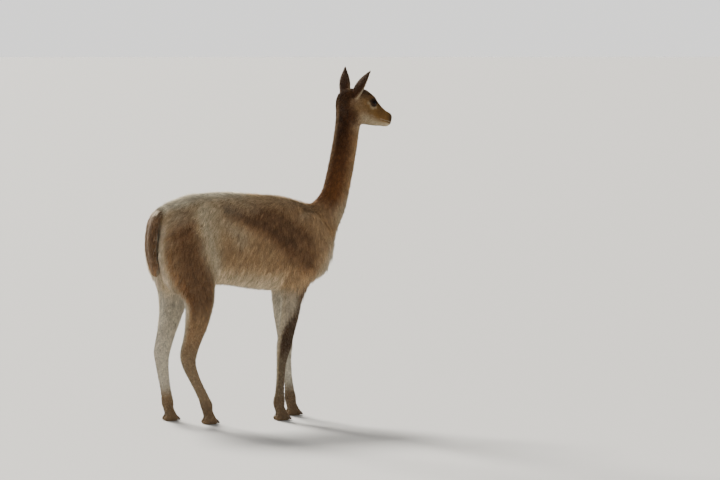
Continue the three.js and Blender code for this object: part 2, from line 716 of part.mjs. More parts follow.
// Feet: two padded toes each, split in front, with a nail at each tip
const PASTERN = [
  [3, 0, 48, 19.5, 20.5],
  [9, 0, 30, 18, 19],
];
const TOE = [
  [3, 9, 50, 17, 11.5],
  [9, 12, 33, 18, 13],
  [15, 13.5, 16, 19, 13.5],
];
const PAD = { at: [10, 13.5, 9], radii: [29, 13.5, 15], tilt: 0 };
const NAIL = [
  [26, 13.5, 17, 8, 7],
  [36, 13.5, 12, 7, 6],
  [45, 13.5, 6, 4, 4],
];
const TOE_NAMES = ["inner", "outer"];

function makeFoot(name) {
  const { side, stations } = LEGS[name];
  const [x0, y0] = stations[stations.length - 1];
  const move = ([x, y, z, ...size], out) => [x + x0, (y0 + y * out) * side, z, ...size];
  const shaft = stations.slice(-2).map(([x, y, ...size]) => [x, y * side, ...size]);
  const pastern = limb([...shaft, ...PASTERN.map((station) => move(station, 0))], { ends: [12, 12] });
  let foot = tube(pastern.distance, pastern, LEG_SIDES, { shares: evenly(0, 1, 6), furthest: 60, ending: [50] });
  const nails = {};
  for (const [i, out] of [-1, 1].entries()) {
    const toe = limb(TOE.map((station) => move(station, out)), { ends: [14, 18] });
    const pad = mass({ ...PAD, at: move(PAD.at, out) }, 1);
    const field = (x, y, z) => blend(toe.distance(x, y, z), pad(x, y, z), 14);
    foot = foot.add(tube(field, toe, 8, { shares: evenly(0, 1, 4), furthest: 60, ending: [45] }));
    const nail = limb(NAIL.map((station) => move(station, out)), { ends: [6, 4], steps: 3 });
    nails[TOE_NAMES[i]] = (level) =>
      tube(nail.distance, nail, 6, { shares: evenly(0, 1, 3), furthest: 20, level, ending: [45] });
  }
  foot = foot.intersect(above(FLOOR)).intersect(below(FETLOCK));
  for (const [which, shape] of Object.entries(nails)) {
    foot = foot.subtract(shape(GAP));
    nails[which] = largest(shape(0).intersect(above(FLOOR + 1)));
  }
  return { foot: largest(foot), nails };
}

// Ears in their own frame: x the way the cup faces, y across, z up the ear
const EAR = [
  [0, 0, -16, 16, 18],
  [0, 0, 10, 17, 22],
  [-2, 0, 36, 15, 24],
  [-2, 0, 62, 11.5, 19.5],
  [0, 0, 84, 7, 11.5],
  [2, 0, 100, 3.5, 4.5],
];
const EAR_CUP = [
  [16, 0, 4, 8, 9],
  [13, 0, 28, 13, 17],
  [10, 0, 58, 11, 14.5],
  [9, 0, 82, 6.5, 7.5],
  [9, 0, 96, 4, 3],
];
const EARS = {
  right: { side: -1, at: [-8, 35, 42], forward: 40, outward: 24, up: 76, facing: 4 },
  left: { side: 1, at: [-13, 35, 42], forward: 8, outward: 11, up: 73, facing: 28 },
};
const earForm = limb(EAR, { ends: [10, 7] });
const cupForm = limb(EAR_CUP, { ends: [8, 5] });

function makeEar({ side, at, forward, outward, up, facing }, headGrown) {
  const shell = tube(earForm.distance, earForm, 12, { shares: evenly(0, 1, 8), furthest: 60, ending: [50] });
  const cup = tube(cupForm.distance, cupForm, 8, { shares: evenly(0, 1, 6), furthest: 60, ending: [50] });
  const along = vec(forward, outward * side, up).normalize();
  const face = vec(Math.cos(radians(facing)), Math.sin(radians(facing)) * side, 0);
  face.addScaledVector(along, -face.dot(along)).normalize();
  const across = vec(0, 0, 0).crossVectors(along, face);
  const yaw = new THREE.Matrix4().makeRotationZ(radians(HEAD_YAW));
  const base = vec(at[0], at[1] * side, at[2]).applyMatrix4(headMatrix);
  const turn = new THREE.Matrix4().makeBasis(face, across, along);
  const place = new THREE.Matrix4().setPosition(base).multiply(yaw).multiply(turn);
  return largest(shell.subtract(cup).transform(place.elements).subtract(headGrown));
}

function makeTail(torsoGrown) {
  const whole = tube(tail.distance, tail, 12, { shares: evenly(0, 1, 10), furthest: 80, ending: [30, 60] });
  return largest(union([whole, ...tailLocks(tail.distance)]).subtract(torsoGrown));
}

// The scene graph
const root = new THREE.Group();

const COLOURS = {
  fawn: 0x9a6f45,
  dark: 0x3a2c20,
  eye: 0x120c08,
};

function addNode(name, solid, colour, roughness = 0.9) {
  const made = solid.getMesh();
  const stride = made.numProp;
  const points = new Float32Array(made.numVert * 3);
  for (let i = 0; i < made.numVert; i++) {
    points.set(made.vertProperties.subarray(i * stride, i * stride + 3), i * 3);
  }
  const geometry = new THREE.BufferGeometry();
  geometry.setAttribute("position", new THREE.BufferAttribute(points, 3));
  geometry.setIndex(new THREE.BufferAttribute(made.triVerts, 1));
  geometry.computeVertexNormals();
  const mesh = new THREE.Mesh(geometry, new THREE.MeshStandardMaterial({ color: colour, roughness, metalness: 0 }));
  mesh.name = name;
  root.add(mesh);
}

const torso = makeTorso();
addNode("torso", torso.solid, COLOURS.fawn);
addNode("neck", makeNeck(), COLOURS.fawn);
const head = makeHead();
addNode("head", head.solid, COLOURS.fawn);
for (const [name, ear] of Object.entries(EARS)) {
  addNode(`ear_${name}`, makeEar(ear, head.grown), COLOURS.fawn);
  const [x, y, z] = EYE_AT;
  addNode(`eye_${name}`, onHead(ball([x, y * ear.side, z], EYE_RADIUS, 2)), COLOURS.eye, 0.1);
}
addNode("tail", makeTail(torso.grown), COLOURS.fawn);
for (const name of Object.keys(LEGS)) {
  const leg = makeLeg(name);
  addNode(`leg_${name}_upper`, leg.upper, COLOURS.fawn);
  addNode(`leg_${name}_lower`, leg.lower, COLOURS.fawn);
  const { foot, nails } = makeFoot(name);
  addNode(`foot_${name}`, foot, COLOURS.fawn);
  for (const [which, nail] of Object.entries(nails)) addNode(`nail_${name}_${which}`, nail, COLOURS.dark, 0.5);
}

// The origin is on the floor under the middle of the model.
const bounds = new THREE.Box3().setFromObject(root);
const middle = bounds.getCenter(vec(0, 0, 0));
root.position.set(-middle.x, -middle.y, -bounds.min.z);

export default root;
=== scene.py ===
"""Looks of the standing vicuna: one skin, a coat of mesh tufts, eyes, nails, floor, light and camera.

The forms are worked out in millimetres in the CAD's construction frame, and every mesh is written in metres.
"""

import itertools
import math

import bpy
import numpy as np
from mathutils import Euler, Matrix, Vector


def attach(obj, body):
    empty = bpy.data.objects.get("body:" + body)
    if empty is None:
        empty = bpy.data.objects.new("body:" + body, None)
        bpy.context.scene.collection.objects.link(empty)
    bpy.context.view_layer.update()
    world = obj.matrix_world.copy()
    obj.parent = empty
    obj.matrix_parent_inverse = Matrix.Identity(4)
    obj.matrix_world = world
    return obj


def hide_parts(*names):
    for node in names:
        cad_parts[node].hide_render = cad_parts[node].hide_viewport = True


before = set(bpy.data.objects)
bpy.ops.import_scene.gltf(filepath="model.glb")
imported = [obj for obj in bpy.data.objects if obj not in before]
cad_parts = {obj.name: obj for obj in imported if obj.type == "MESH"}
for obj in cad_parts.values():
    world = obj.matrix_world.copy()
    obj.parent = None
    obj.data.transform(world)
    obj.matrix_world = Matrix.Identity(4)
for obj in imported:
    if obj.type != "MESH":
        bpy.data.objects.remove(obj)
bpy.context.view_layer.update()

# The forms, as in the CAD: x, y, z, half depth, half width, widening, and then the depth of the coat there
TRUNK = [
    (-300, 0, 724, 153, 102, 0, 17),
    (-220, 0, 722, 181, 129, -0.06, 18),
    (-140, 0, 726, 186, 138, -0.1, 20),
    (-60, 0, 728, 187, 138, -0.1, 20),
    (20, 0, 718, 190, 142, -0.1, 20),
    (100, 0, 709, 193, 144, -0.12, 20),
    (180, 0, 701, 190, 140, -0.14, 20),
    (250, 0, 695, 175, 128, -0.14, 20),
    (308, 0, 693, 146, 104, -0.1, 22),
]
NECK = [
    (285, 0, 715, 100, 92, 0, 20),
    (335, 0, 775, 84, 80, 0, 18),
    (376, 0, 830, 70, 66, 0, 14),
    (400, 0, 880, 60, 56, 0, 12),
    (416, 0, 940, 56, 52, 0, 10),
    (429, 0, 1000, 54.5, 50, 0, 9),
    (441, 0, 1060, 53, 49, 0, 8),
    (451, 0, 1120, 52, 48, 0, 7),
    (459, 0, 1180, 52, 48, 0, 6),
    (464, 0, 1228, 53, 48, 0, 5),
    (467, 0, 1262, 50, 45, 0, 4.5),
]
# Rounded masses on both sides: place, radii, tilt, and the depth of the coat
MASSES = [
    ((-246, 76, 668), (108, 56, 150), -12, 16),
    ((-268, 50, 655), (66, 52, 138), 6, 15),
    ((246, 80, 690), (82, 50, 138), 14, 17),
]
# The legs share the depths of their coat, and have no widening
LEG_COAT = (16, 15, 13, 11, 9, 6, 4.5, 3.5, 3, 2.5, 2.5, 2.5, 2.5)
LEG_FORMS = {
    "front_right": [
        (258, -78, 700, 66, 42), (235, -83, 635, 62, 43), (212, -81, 570, 56, 42),
        (196, -77, 520, 50, 39), (188, -74, 470, 45, 35), (179, -72, 405, 39, 31),
        (168, -71, 347, 34, 28), (157, -71, 290, 30.5, 27), (148, -71, 240, 22, 20),
        (144, -71, 190, 18.5, 17), (141, -71, 140, 18, 17), (138, -71, 95, 20.5, 19),
        (136, -71, 68, 23.5, 22),
    ],
    "front_left": [
        (258, 78, 700, 66, 42), (238, 83, 635, 62, 43), (220, 81, 570, 56, 42),
        (208, 77, 520, 50, 39), (204, 74, 470, 45, 35), (207, 72, 405, 39, 31),
        (213, 71, 345, 34, 28), (218, 71, 287, 30, 27), (221, 71, 237, 22, 20),
        (225, 71, 188, 18.5, 17), (230, 71, 140, 18, 17), (235, 71, 95, 20.5, 19),
        (238, 71, 68, 23.5, 22),
    ],
    "hind_right": [
        (-262, -78, 720, 96, 50), (-240, -88, 640, 96, 52), (-214, -92, 560, 80, 47),
        (-200, -90, 490, 64, 42), (-206, -87, 428, 54, 36), (-215, -85, 380, 46, 31),
        (-232, -84, 325, 38, 27), (-246, -83, 272, 35, 25), (-241, -83, 230, 28, 22),
        (-223, -83, 185, 23, 19), (-201, -83, 140, 21, 18), (-180, -83, 97, 22, 19.5),
        (-170, -83, 70, 24, 22),
    ],
    "hind_left": [
        (-275, 78, 720, 96, 50), (-262, 88, 640, 96, 52), (-246, 92, 560, 80, 47),
        (-248, 90, 490, 65, 41), (-260, 87, 428, 51, 36), (-273, 85, 377, 43, 31),
        (-287, 84, 325, 37, 28), (-299, 83, 275, 34, 26), (-299, 83, 232, 28, 23),
        (-294, 83, 185, 24, 20.5), (-287, 83, 140, 22, 19), (-280, 83, 97, 22.5, 20),
        (-276, 83, 68, 24, 22),
    ],
}
LEGS = {
    name: [(*form, 0, coat) for form, coat in zip(forms, LEG_COAT)]
    for name, forms in LEG_FORMS.items()
}
TAIL = [
    (-312, 0, 840, 15, 28, 0, 5),
    (-341, 0, 822, 18, 38, 0, 8),
    (-361, 0, 784, 19, 47, 0, 10),
    (-368, 0, 734, 20, 52, 0, 12),
    (-366, 0, 682, 20, 52, 0, 12),
    (-360, 0, 632, 17, 45, 0, 11),
    (-353, 0, 592, 12, 30, 0, 8),
]
HEAD = [
    (-18, 0, 6, 51, 43, 0, 4.5),
    (12, 0, 6, 65, 49, 0.05, 4),
    (46, 0, 6, 72, 52, 0.1, 3),
    (82, 0, 3, 62.5, 49, 0.14, 2.4),
    (114, 0, 0, 52.5, 39, 0, 1.8),
    (143, 0, -2, 43, 32, -0.12, 1.4),
    (168, 0, -2, 35, 28.5, -0.14, 1),
    (187, 0, -3, 29.5, 26.5, -0.1, 0.6),
]
HEAD_MASSES = [
    ((76, 34, 46), (25, 14, 12), 25, 2.2),
    ((44, 34, -27), (40, 20, 40), 0, 3.4),
    ((190, 12, -10), (16, 15, 15), 0, 0.6),
    ((190, 12, 12), (17, 11, 12), 20, 0.6),
]
EAR = [
    (0, 0, -16, 16, 18, 0, 1.4),
    (0, 0, 10, 17, 22, 0, 1.3),
    (-2, 0, 36, 15, 24, 0, 1.1),
    (-2, 0, 62, 11.5, 19.5, 0, 1),
    (0, 0, 84, 7, 11.5, 0, 0.8),
    (2, 0, 100, 3.5, 4.5, 0, 0.6),
]
EAR_CUP = [
    (16, 0, 4, 8, 9, 0, 0),
    (13, 0, 28, 13, 17, 0, 0),
    (10, 0, 58, 11, 14.5, 0, 0),
    (9, 0, 82, 6.5, 7.5, 0, 0),
    (9, 0, 96, 4, 3, 0, 0),
]
# Side, place on the head, the way it points, and the way its cup faces
EARS = {
    "right": (-1, (-8, 35, 42), (40, 24, 76), 4),
    "left": (1, (-13, 35, 42), (8, 11, 73), 28),
}
# Feet, forwards and outwards of the leg's last station
PASTERN = [(3, 0, 48, 19.5, 20.5, 0, 1.6), (9, 0, 30, 18, 19, 0, 1.4)]
TOE = [(3, 9, 50, 17, 11.5, 0, 1.6), (9, 12, 33, 18, 13, 0, 1.4), (15, 13.5, 16, 19, 13.5, 0, 1)]
PAD = ((10, 13.5, 9), (29, 13.5, 15))
NAIL = [(26, 13.5, 17, 8, 7, 0, 0), (36, 13.5, 12, 7, 6, 0, 0), (45, 13.5, 6, 4, 4, 0, 0)]
# The head, and its details in its own frame
HEAD_AT = (467, 0, 1249)
HEAD_YAW, HEAD_PITCH = 14, 19.3
EYE_AT = (79, 36.5, 31)
EYE_RADIUS = 16.5
EYE_CORNERS = ((-17, 1), (16, -3.5))
LID_ARCH = (13, -11.5)
EYE_FACES = (-3, 6)
LID, LID_BLEND, LID_EDGE = 2.0, 5, 1.6
MOUTH = ((178, 0, -13), -4, 42)
LIPS_MEET, LIP_GAP, LIP_DEPTH, LIP_FADE = 0.6, 0.9, 3.6, 20
NOSTRIL = ((204, 11, 10), (5, 2.4, 4), (-30, 35))
CLEFT_FROM, CLEFT_LOW, CLEFT_GAP, CLEFT_DEPTH = 198, -12, 0.6, 2.6
# How far forms flow into each other
NECK_BLEND, MASS_BLEND, LEG_BLEND, TAIL_BLEND = 56, 50, 36, 14
HEAD_BLEND, THROAT_BLEND, EAR_BLEND = 12, 22, 8
CUP_COAT, CUP_EDGE = 0.7, 2.5  # depth of the hair in an ear, and the rounding of the ear's rim
PAD_BLEND, TOE_BLEND, PAD_COAT = 14, 3, 1
NAIL_GAP, SOLE = 0.3, 0.4  # room round a nail, and the height of the sole
HEAD_FROM = 1140  # height in the neck where the finer mesh of the head takes over
FEET_TO = 100  # height where the finer meshes of the feet end
OVERLAP = 30  # how far one mesh runs on beyond the place where the next takes over
NEAR_LIMB = 75  # further off, a limb's distance is only rough
MM = 1000  # in a metre


# Small maths on rows of points
def blend(a, b, reach):
    """The union of two forms, flowing into each other within reach."""
    h = np.maximum(reach - np.abs(a - b), 0) / reach
    return np.minimum(a, b) - h * h * reach / 4


def carve(a, b, reach):
    """What is left of a where b is taken away, with its edge rounded."""
    return -blend(-a, b, reach)


def ramp(value, low, high):
    """0 below low, 1 above high, smooth between them. Low may be the larger one."""
    t = np.clip((value - low) / (high - low), 0, 1)
    return t * t * (3 - 2 * t)


def unit(v):
    return v / np.maximum(np.linalg.norm(v, axis=-1, keepdims=True), 1e-9)


def norm(v):
    return np.linalg.norm(v, axis=1)


def dot(a, b):
    return np.einsum("ij,ij->i", a, b)


def spline(points, t):
    """A uniform Catmull-Rom curve through the points, at shares t of its length."""
    last = len(points) - 1
    spot = np.clip(t, 0, 1) * last
    i = np.minimum(spot.astype(int), last - 1)
    w = (spot - i)[:, None]
    p = np.vstack([2 * points[0] - points[1], points, 2 * points[-1] - points[-2]])
    a, b, c, d = (p[i + k] for k in range(4))
    m, n = (c - a) / 2, (d - b) / 2
    return b + w * m + w**2 * (3 * (c - b) - 2 * m - n) + w**3 * (2 * (b - c) + m + n)


class Limb:
    """A bent form of changing oval section, with the depth of its coat."""

    def __init__(self, stations, ends, steps=5, power=2.2):
        s = np.array(stations, float)
        self.count = (len(s) - 1) * steps
        t = np.arange(self.count + 1) / self.count
        self.at = spline(s[:, :3], t)
        along = unit(spline(s[:, :3], np.minimum(t + 1e-4, 1)) - spline(s[:, :3], np.maximum(t - 1e-4, 0)))
        side = unit(np.array([0, 1.0, 0]) - along * along[:, 1:2])
        self.along, self.side, self.front = along, side, np.cross(along, side)
        self.size = spline(s[:, 3:], t)
        self.ends, self.power = ends, power
        reach = self.size[:, :2].max(1, keepdims=True)
        self.low, self.high = (self.at - reach).min(0), (self.at + reach).max(0)

    def find(self, p):
        """For each point the nearest row with its share, and the squared distance to the axis."""
        best = np.full(len(p), np.inf)
        row = np.zeros(len(p), int)
        share = np.zeros(len(p))
        for i in range(self.count):
            d = p - self.at[i]
            e = self.at[i + 1] - self.at[i]
            s = np.clip(d @ e / (e @ e), 0, 1)
            d -= s[:, None] * e
            far = dot(d, d)
            closer = far < best
            best = np.where(closer, far, best)
            row[closer] = i
            share[closer] = s[closer]
        return row, share, best

    def mixed(self, values, row, share):
        w = share[:, None]
        return values[row] * (1 - w) + values[row + 1] * w

    def measure(self, p):
        """Signed distance, coat depth, share of the length, and the angle round the axis."""
        row, share, best = self.find(p)
        d = p - self.mixed(self.at, row, share)
        size = self.mixed(self.size, row, share)
        u = dot(d, self.mixed(self.front, row, share)) / size[:, 0]
        width = size[:, 1] * (1 + size[:, 2] * np.clip(u, -1, 1))
        v = dot(d, self.mixed(self.side, row, share)) / width
        a = dot(d, self.mixed(self.along, row, share))
        reach = (np.abs(u) ** self.power + np.abs(v) ** self.power) ** (1 / self.power)
        first = (row == 0) & (share == 0)
        last = (row == self.count - 1) & (share == 1)
        reach = np.where(first, np.hypot(reach, a / self.ends[0]), reach)
        reach = np.where(last, np.hypot(reach, a / self.ends[1]), reach)
        value = np.sqrt(best) * (1 - 1 / np.maximum(reach, 1e-6))
        value = np.where(reach < 1e-3, -np.minimum(width, size[:, 0]), value)
        return value, size[:, 3], (row + share) / self.count, np.arctan2(v, u)

    def value(self, p):
        """Distance to the skin under the coat. Far points get a rough value."""
        beyond = np.maximum(np.maximum(self.low - p, p - self.high), 0)
        far = norm(beyond)
        out = far + 10
        near = far < NEAR_LIMB
        if near.any():
            d, depth, _, _ = self.measure(p[near])
            out[near] = d + depth
        return out


def egg(at, radii, tilt, p):
    """Distance to a rounded mass."""
    c, s = math.cos(math.radians(tilt)), math.sin(math.radians(tilt))
    d = p - at
    x, y, z = d.T
    q = np.stack([x * c - z * s, y, x * s + z * c], 1) / radii
    reach = np.maximum(norm(q), 1e-6)
    return norm(d) * (1 - 1 / reach)


def mirrored(at, side):
    return (at[0], at[1] * side, at[2])


def side_of(name):
    return -1 if name.endswith("right") else 1


def with_masses(d, masses, p, reach):
    """A form with its rounded masses blended in on both sides."""
    for at, radii, tilt, depth in masses:
        for side in (1, -1):
            d = blend(d, egg(mirrored(at, side), radii, tilt, p) + depth, reach)
    return d


trunk = Limb(TRUNK, (52, 80), power=2.15)
neck = Limb(NECK, (40, 40))
tail = Limb(TAIL, (8, 16))
head = Limb(HEAD, (36, 20), power=2.25)
ear = Limb(EAR, (10, 7))
cup = Limb(EAR_CUP, (8, 5))
legs = {name: Limb(stations, (30, 12)) for name, stations in LEGS.items()}


def rotation(x, y, z, order="XYZ"):
    """The turn by so many degrees about the three axes."""
    return Euler([math.radians(angle) for angle in (x, y, z)], order).to_matrix()


head_turn = np.array(rotation(0, 0, HEAD_YAW) @ rotation(0, HEAD_PITCH, 0))
head_at = np.array(HEAD_AT, float)


def to_head(p):
    return (p - head_at) @ head_turn


def from_head(p):
    return np.asarray(p, float) @ head_turn.T + head_at


def ear_frame(side, at, along, facing):
    """The ear's own axes as columns: the way the cup faces, across, and up the ear; and its base."""
    along = unit(np.array(mirrored(along, side), float))
    face = np.array([math.cos(math.radians(facing)), math.sin(math.radians(facing)) * side, 0])
    face = unit(face - along * (face @ along))
    yaw = np.array(Matrix.Rotation(math.radians(HEAD_YAW), 3, "Z"))
    axes = yaw @ np.stack([face, np.cross(along, face), along], 1)
    return axes, from_head(mirrored(at, side))


ears = {name: ear_frame(*facts) for name, facts in EARS.items()}


# Fields of the skin: distances to it, negative inside
def ear_field(p):
    d = np.full(len(p), 1e3)
    for axes, base in ears.values():
        q = (p - base) @ axes
        d = np.minimum(d, carve(ear.value(q), cup.value(q) - CUP_COAT, CUP_EDGE))
    return d


def eye_space(q, side):
    """A head point in the frame of one eye: forwards, upwards, outwards."""
    turn = rotation(EYE_FACES[1] * side, 0, -EYE_FACES[0] * side, "ZYX")
    x, y, z = ((q - mirrored(EYE_AT, side)) @ np.array(turn)).T
    return np.stack([x, z, y * side], 1)


def lid_edges(u):
    """Heights of the upper and the lower lid's edge over the opening's length."""
    (u0, v0), (u1, v1) = EYE_CORNERS
    t = np.linspace(0, 1, 41)
    along = (1 - t) ** 2 * u0 + t**2 * u1
    edges = []
    for arch in LID_ARCH:
        height = (1 - t) ** 2 * v0 + 2 * t * (1 - t) * arch * 2 + t**2 * v1
        edges.append(np.interp(u, along, height))
    return edges


def lid_gap(e):
    """Distance in the eye's frame to the edge of the opening between the lids: negative in the opening."""
    upper, lower = lid_edges(e[:, 0])
    level = np.maximum(e[:, 1] - upper, lower - e[:, 1])
    (u0, _), (u1, _) = EYE_CORNERS
    return np.maximum(level * 0.85, np.maximum(u0 - e[:, 0], e[:, 0] - u1))


def face_details(q, d):
    """Lids, nostrils and the line between the lips, worked into the skin of the head."""
    for side in (1, -1):
        e = eye_space(q, side)
        far = norm(e)
        d = blend(d, far - (EYE_RADIUS + LID), LID_BLEND)
        gap = np.maximum(lid_gap(e), 4 - e[:, 2])
        d = carve(d, gap, LID_EDGE)
        d = carve(d, far - EYE_RADIUS - 0.15, 0.4)
        at, radii, turn = NOSTRIL
        spin = rotation(turn[0] * side, turn[1], 0, "ZYX")
        n = (q - mirrored(at, side)) @ np.array(spin) / radii
        d = carve(d, (norm(n) - 1) * min(radii), 1.2)
    at, tilt, length = MOUTH
    m = (q - at) @ np.array(rotation(0, tilt, 0))
    fade = np.clip((m[:, 0] + length) / LIP_FADE, 0, 1)
    d = carve(d, np.maximum(np.abs(m[:, 2] - LIPS_MEET) - LIP_GAP, -d - LIP_DEPTH * fade), 1.4)
    x, y, z = q.T
    cleft = np.maximum(np.abs(y) - CLEFT_GAP, np.maximum(CLEFT_FROM - x, -d - CLEFT_DEPTH))
    return carve(d, np.maximum(cleft, CLEFT_LOW - z), 1.6)


def head_skin(p):
    q = to_head(p)
    d = with_masses(head.value(q), HEAD_MASSES, q, HEAD_BLEND)
    d = face_details(q, blend(d, neck.value(p), THROAT_BLEND))
    return np.maximum(blend(d, ear_field(p), EAR_BLEND), HEAD_FROM - OVERLAP - p[:, 2])


def make_foot(name):
    """The field of one foot, and the forms of its inner and outer nail."""
    last = LEGS[name][-1]

    def moved(s, out):
        return (s[0] + last[0], (abs(last[1]) + s[1] * out) * side_of(name), *s[2:])

    pastern = Limb([*LEGS[name][-2:], *(moved(s, 0) for s in PASTERN)], (12, 12))
    toes = []
    for out in (-1, 1):
        toe = Limb([moved(s, out) for s in TOE], (14, 18))
        nail = Limb([moved(s, out) for s in NAIL], (6, 4), 3)
        toes.append((toe, moved(PAD[0], out), nail))

    def field(p):
        d = pastern.value(p)
        for toe, pad, nail in toes:
            one = blend(toe.value(p), egg(pad, PAD[1], 0, p) + PAD_COAT, PAD_BLEND)
            d = blend(d, carve(one, nail.value(p) - NAIL_GAP, 1), TOE_BLEND)
        d = blend(np.maximum(d, SOLE - p[:, 2]), legs[name].value(p), TOE_BLEND)
        return np.maximum(d, p[:, 2] - FEET_TO)

    return field, [nail for _, _, nail in toes]


feet = {name: make_foot(name) for name in LEGS}


def ends_inside(p):
    """How much deeper the body's mesh runs where a finer mesh covers its end."""
    return 3 * ramp(p[:, 2], HEAD_FROM + 2, HEAD_FROM + 14) + 2 * ramp(p[:, 2], FEET_TO - 2, FEET_TO - 10)


def body_skin(p):
    d = with_masses(blend(trunk.value(p), neck.value(p), NECK_BLEND), MASSES, p, MASS_BLEND)
    d = np.minimum.reduce([blend(d, leg.value(p), LEG_BLEND) for leg in legs.values()])
    d = blend(d, tail.value(p), TAIL_BLEND) + ends_inside(p)
    return np.maximum(d, np.maximum(p[:, 2] - HEAD_FROM - OVERLAP, FEET_TO - OVERLAP - p[:, 2]))


# Meshing of fields
CORNERS = [np.array([c & 1, c >> 1 & 1, c >> 2 & 1]) for c in range(8)]
COARSER = 4  # cells in a rough cell, on which a field is tried first
BATCH = 150000  # points worked out at a time
SETTLE_ROUNDS, SETTLE_STEP = 2, 0.4


class Grid:
    def __init__(self, field, low, high, cell):
        self.low, self.cell = np.array(low, float), cell
        coarse = cell * COARSER
        n = np.ceil((np.array(high) - self.low) / coarse).astype(int) + 1
        axes = [self.low[i] + np.arange(n[i]) * coarse for i in range(3)]
        points = np.stack(np.meshgrid(*axes, indexing="ij"), -1).reshape(-1, 3)
        rough = field(points).reshape(n)
        for axis in range(3):
            m = rough.shape[axis]
            spots = np.arange((m - 1) * COARSER + 1) / COARSER
            i = np.minimum(spots.astype(int), m - 2)
            w = (spots - i).reshape([-1 if k == axis else 1 for k in range(3)])
            rough = np.take(rough, i, axis) * (1 - w) + np.take(rough, i + 1, axis) * w
        near = np.argwhere(np.abs(rough) < coarse * 1.3)
        batches = np.array_split(near, len(near) // BATCH + 1)
        rough[tuple(near.T)] = np.concatenate([field(self.low + batch * cell) for batch in batches])
        self.values = rough.astype(np.float32)
        self.last = np.array(rough.shape) - 2

    def at(self, p):
        spot = (p - self.low) / self.cell
        i = np.clip(spot.astype(int), 0, self.last)
        f = np.clip(spot - i, 0, 1)
        total = 0
        for o in CORNERS:
            w = np.prod(np.where(o, f, 1 - f), axis=1)
            j = i + o
            total = total + w * self.values[j[:, 0], j[:, 1], j[:, 2]]
        return total

    def slope(self, p):
        step = self.cell / 2
        g = [self.at(p + step * e) - self.at(p - step * e) for e in np.eye(3)]
        return unit(np.stack(g, 1))


def net(grid, field):
    """Quads on the surface of a field: one point in each cell that the surface passes, settled onto it."""
    v = grid.values
    inside = v < 0
    shape = np.array(v.shape) - 1
    count = sum(inside[tuple(slice(o, o + s) for o, s in zip(c, shape))].astype(np.int8) for c in CORNERS)
    cells = np.argwhere((count > 0) & (count < 8))
    index = np.full(v.shape, -1, int)
    index[tuple(cells.T)] = np.arange(len(cells))
    total = np.zeros((len(cells), 3))
    crossings = np.zeros(len(cells))
    for c in range(8):
        for axis in range(3):
            if c >> axis & 1:
                continue
            a, b = CORNERS[c], CORNERS[c | 1 << axis]
            va, vb = v[tuple((cells + a).T)], v[tuple((cells + b).T)]
            cross = (va < 0) != (vb < 0)
            t = np.where(cross, va / np.where(cross, va - vb, 1), 0)[:, None]
            total += cross[:, None] * (a + (b - a) * t)
            crossings += cross
    points = grid.low + (cells + total / crossings[:, None]) * grid.cell
    points = settle(field, points, grid.cell)
    quads = []
    for axis in range(3):
        j, k = (axis + 1) % 3, (axis + 2) % 3
        first = np.take(inside, range(v.shape[axis] - 1), axis)
        second = np.take(inside, range(1, v.shape[axis]), axis)
        edges = np.argwhere(first != second)
        edges = edges[(edges[:, j] > 0) & (edges[:, k] > 0)]
        ej, ek = np.eye(3, dtype=int)[j], np.eye(3, dtype=int)[k]
        ring = [index[tuple((edges - o).T)] for o in (ej + ek, ek, 0 * ej, ej)]
        q = np.stack(ring, 1)
        flip = ~inside[tuple(edges.T)]
        q[flip] = q[flip][:, ::-1]
        quads.append(q[(q >= 0).all(1)])
    return points, np.concatenate(quads)


def settle(field, points, furthest):
    """The points moved onto the field's surface, apart from any that would go further than furthest."""
    out, h = points.copy(), SETTLE_STEP
    for _ in range(SETTLE_ROUNDS):
        g = np.stack([field(out + h * e) - field(out - h * e) for e in np.eye(3)], 1) / (2 * h)
        move = g * (-field(out) / np.maximum((g**2).sum(1), 0.2))[:, None]
        out += move * np.minimum(1, furthest / np.maximum(norm(move), 1e-9))[:, None]
    strayed = norm(out - points) > furthest
    out[strayed] = points[strayed]
    return out


# The CAD frame's place of the construction frame
def centre(node):
    points = np.array([v.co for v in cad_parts[node].data.vertices])
    return (points.min(0) + points.max(0)) / 2 * MM


shift = centre("eye_right") - from_head(mirrored(EYE_AT, -1))
shift[2] = 0


def placed(points):
    """Construction millimetres as metres in the part's frame."""
    return (points + shift) / MM


def add_object(name, data):
    made = bpy.data.objects.new(name, data)
    bpy.context.scene.collection.objects.link(made)
    return made


def add_mesh(name, points, faces, colours=None, uv=None, normals=None):
    """A piece from points and one array of equal-sided faces, as rows of point numbers."""
    mesh = bpy.data.meshes.new(name)
    mesh.vertices.add(len(points))
    mesh.vertices.foreach_set("co", placed(points).astype(np.float32).ravel())
    sides = faces.shape[1]
    mesh.loops.add(faces.size)
    mesh.loops.foreach_set("vertex_index", faces.astype(np.int32).ravel())
    mesh.polygons.add(len(faces))
    mesh.polygons.foreach_set("loop_start", np.arange(0, faces.size, sides, dtype=np.int32))
    mesh.update(calc_edges=True)
    if colours is not None:
        layer = mesh.color_attributes.new("coat", "FLOAT_COLOR", "POINT")
        rgba = np.concatenate([colours, np.ones((len(colours), 1))], 1)
        layer.data.foreach_set("color", rgba.astype(np.float32).ravel())
    if uv is not None:
        layer = mesh.uv_layers.new(name="OFBake")
        layer.data.foreach_set("uv", uv[faces.ravel()].astype(np.float32).ravel())
    mesh.polygons.foreach_set("use_smooth", np.ones(len(faces), bool))
    if normals is not None:
        mesh.normals_split_custom_set_from_vertices(normals.astype(np.float32))
    mesh.update()
    return add_object(name, mesh)


# Colours of the coat, as one function of the place on the animal
def srgb(r, g, b):
    c = np.array([r, g, b]) / 255
    return np.where(c <= 0.04045, c / 12.92, ((c + 0.055) / 1.055) ** 2.4)


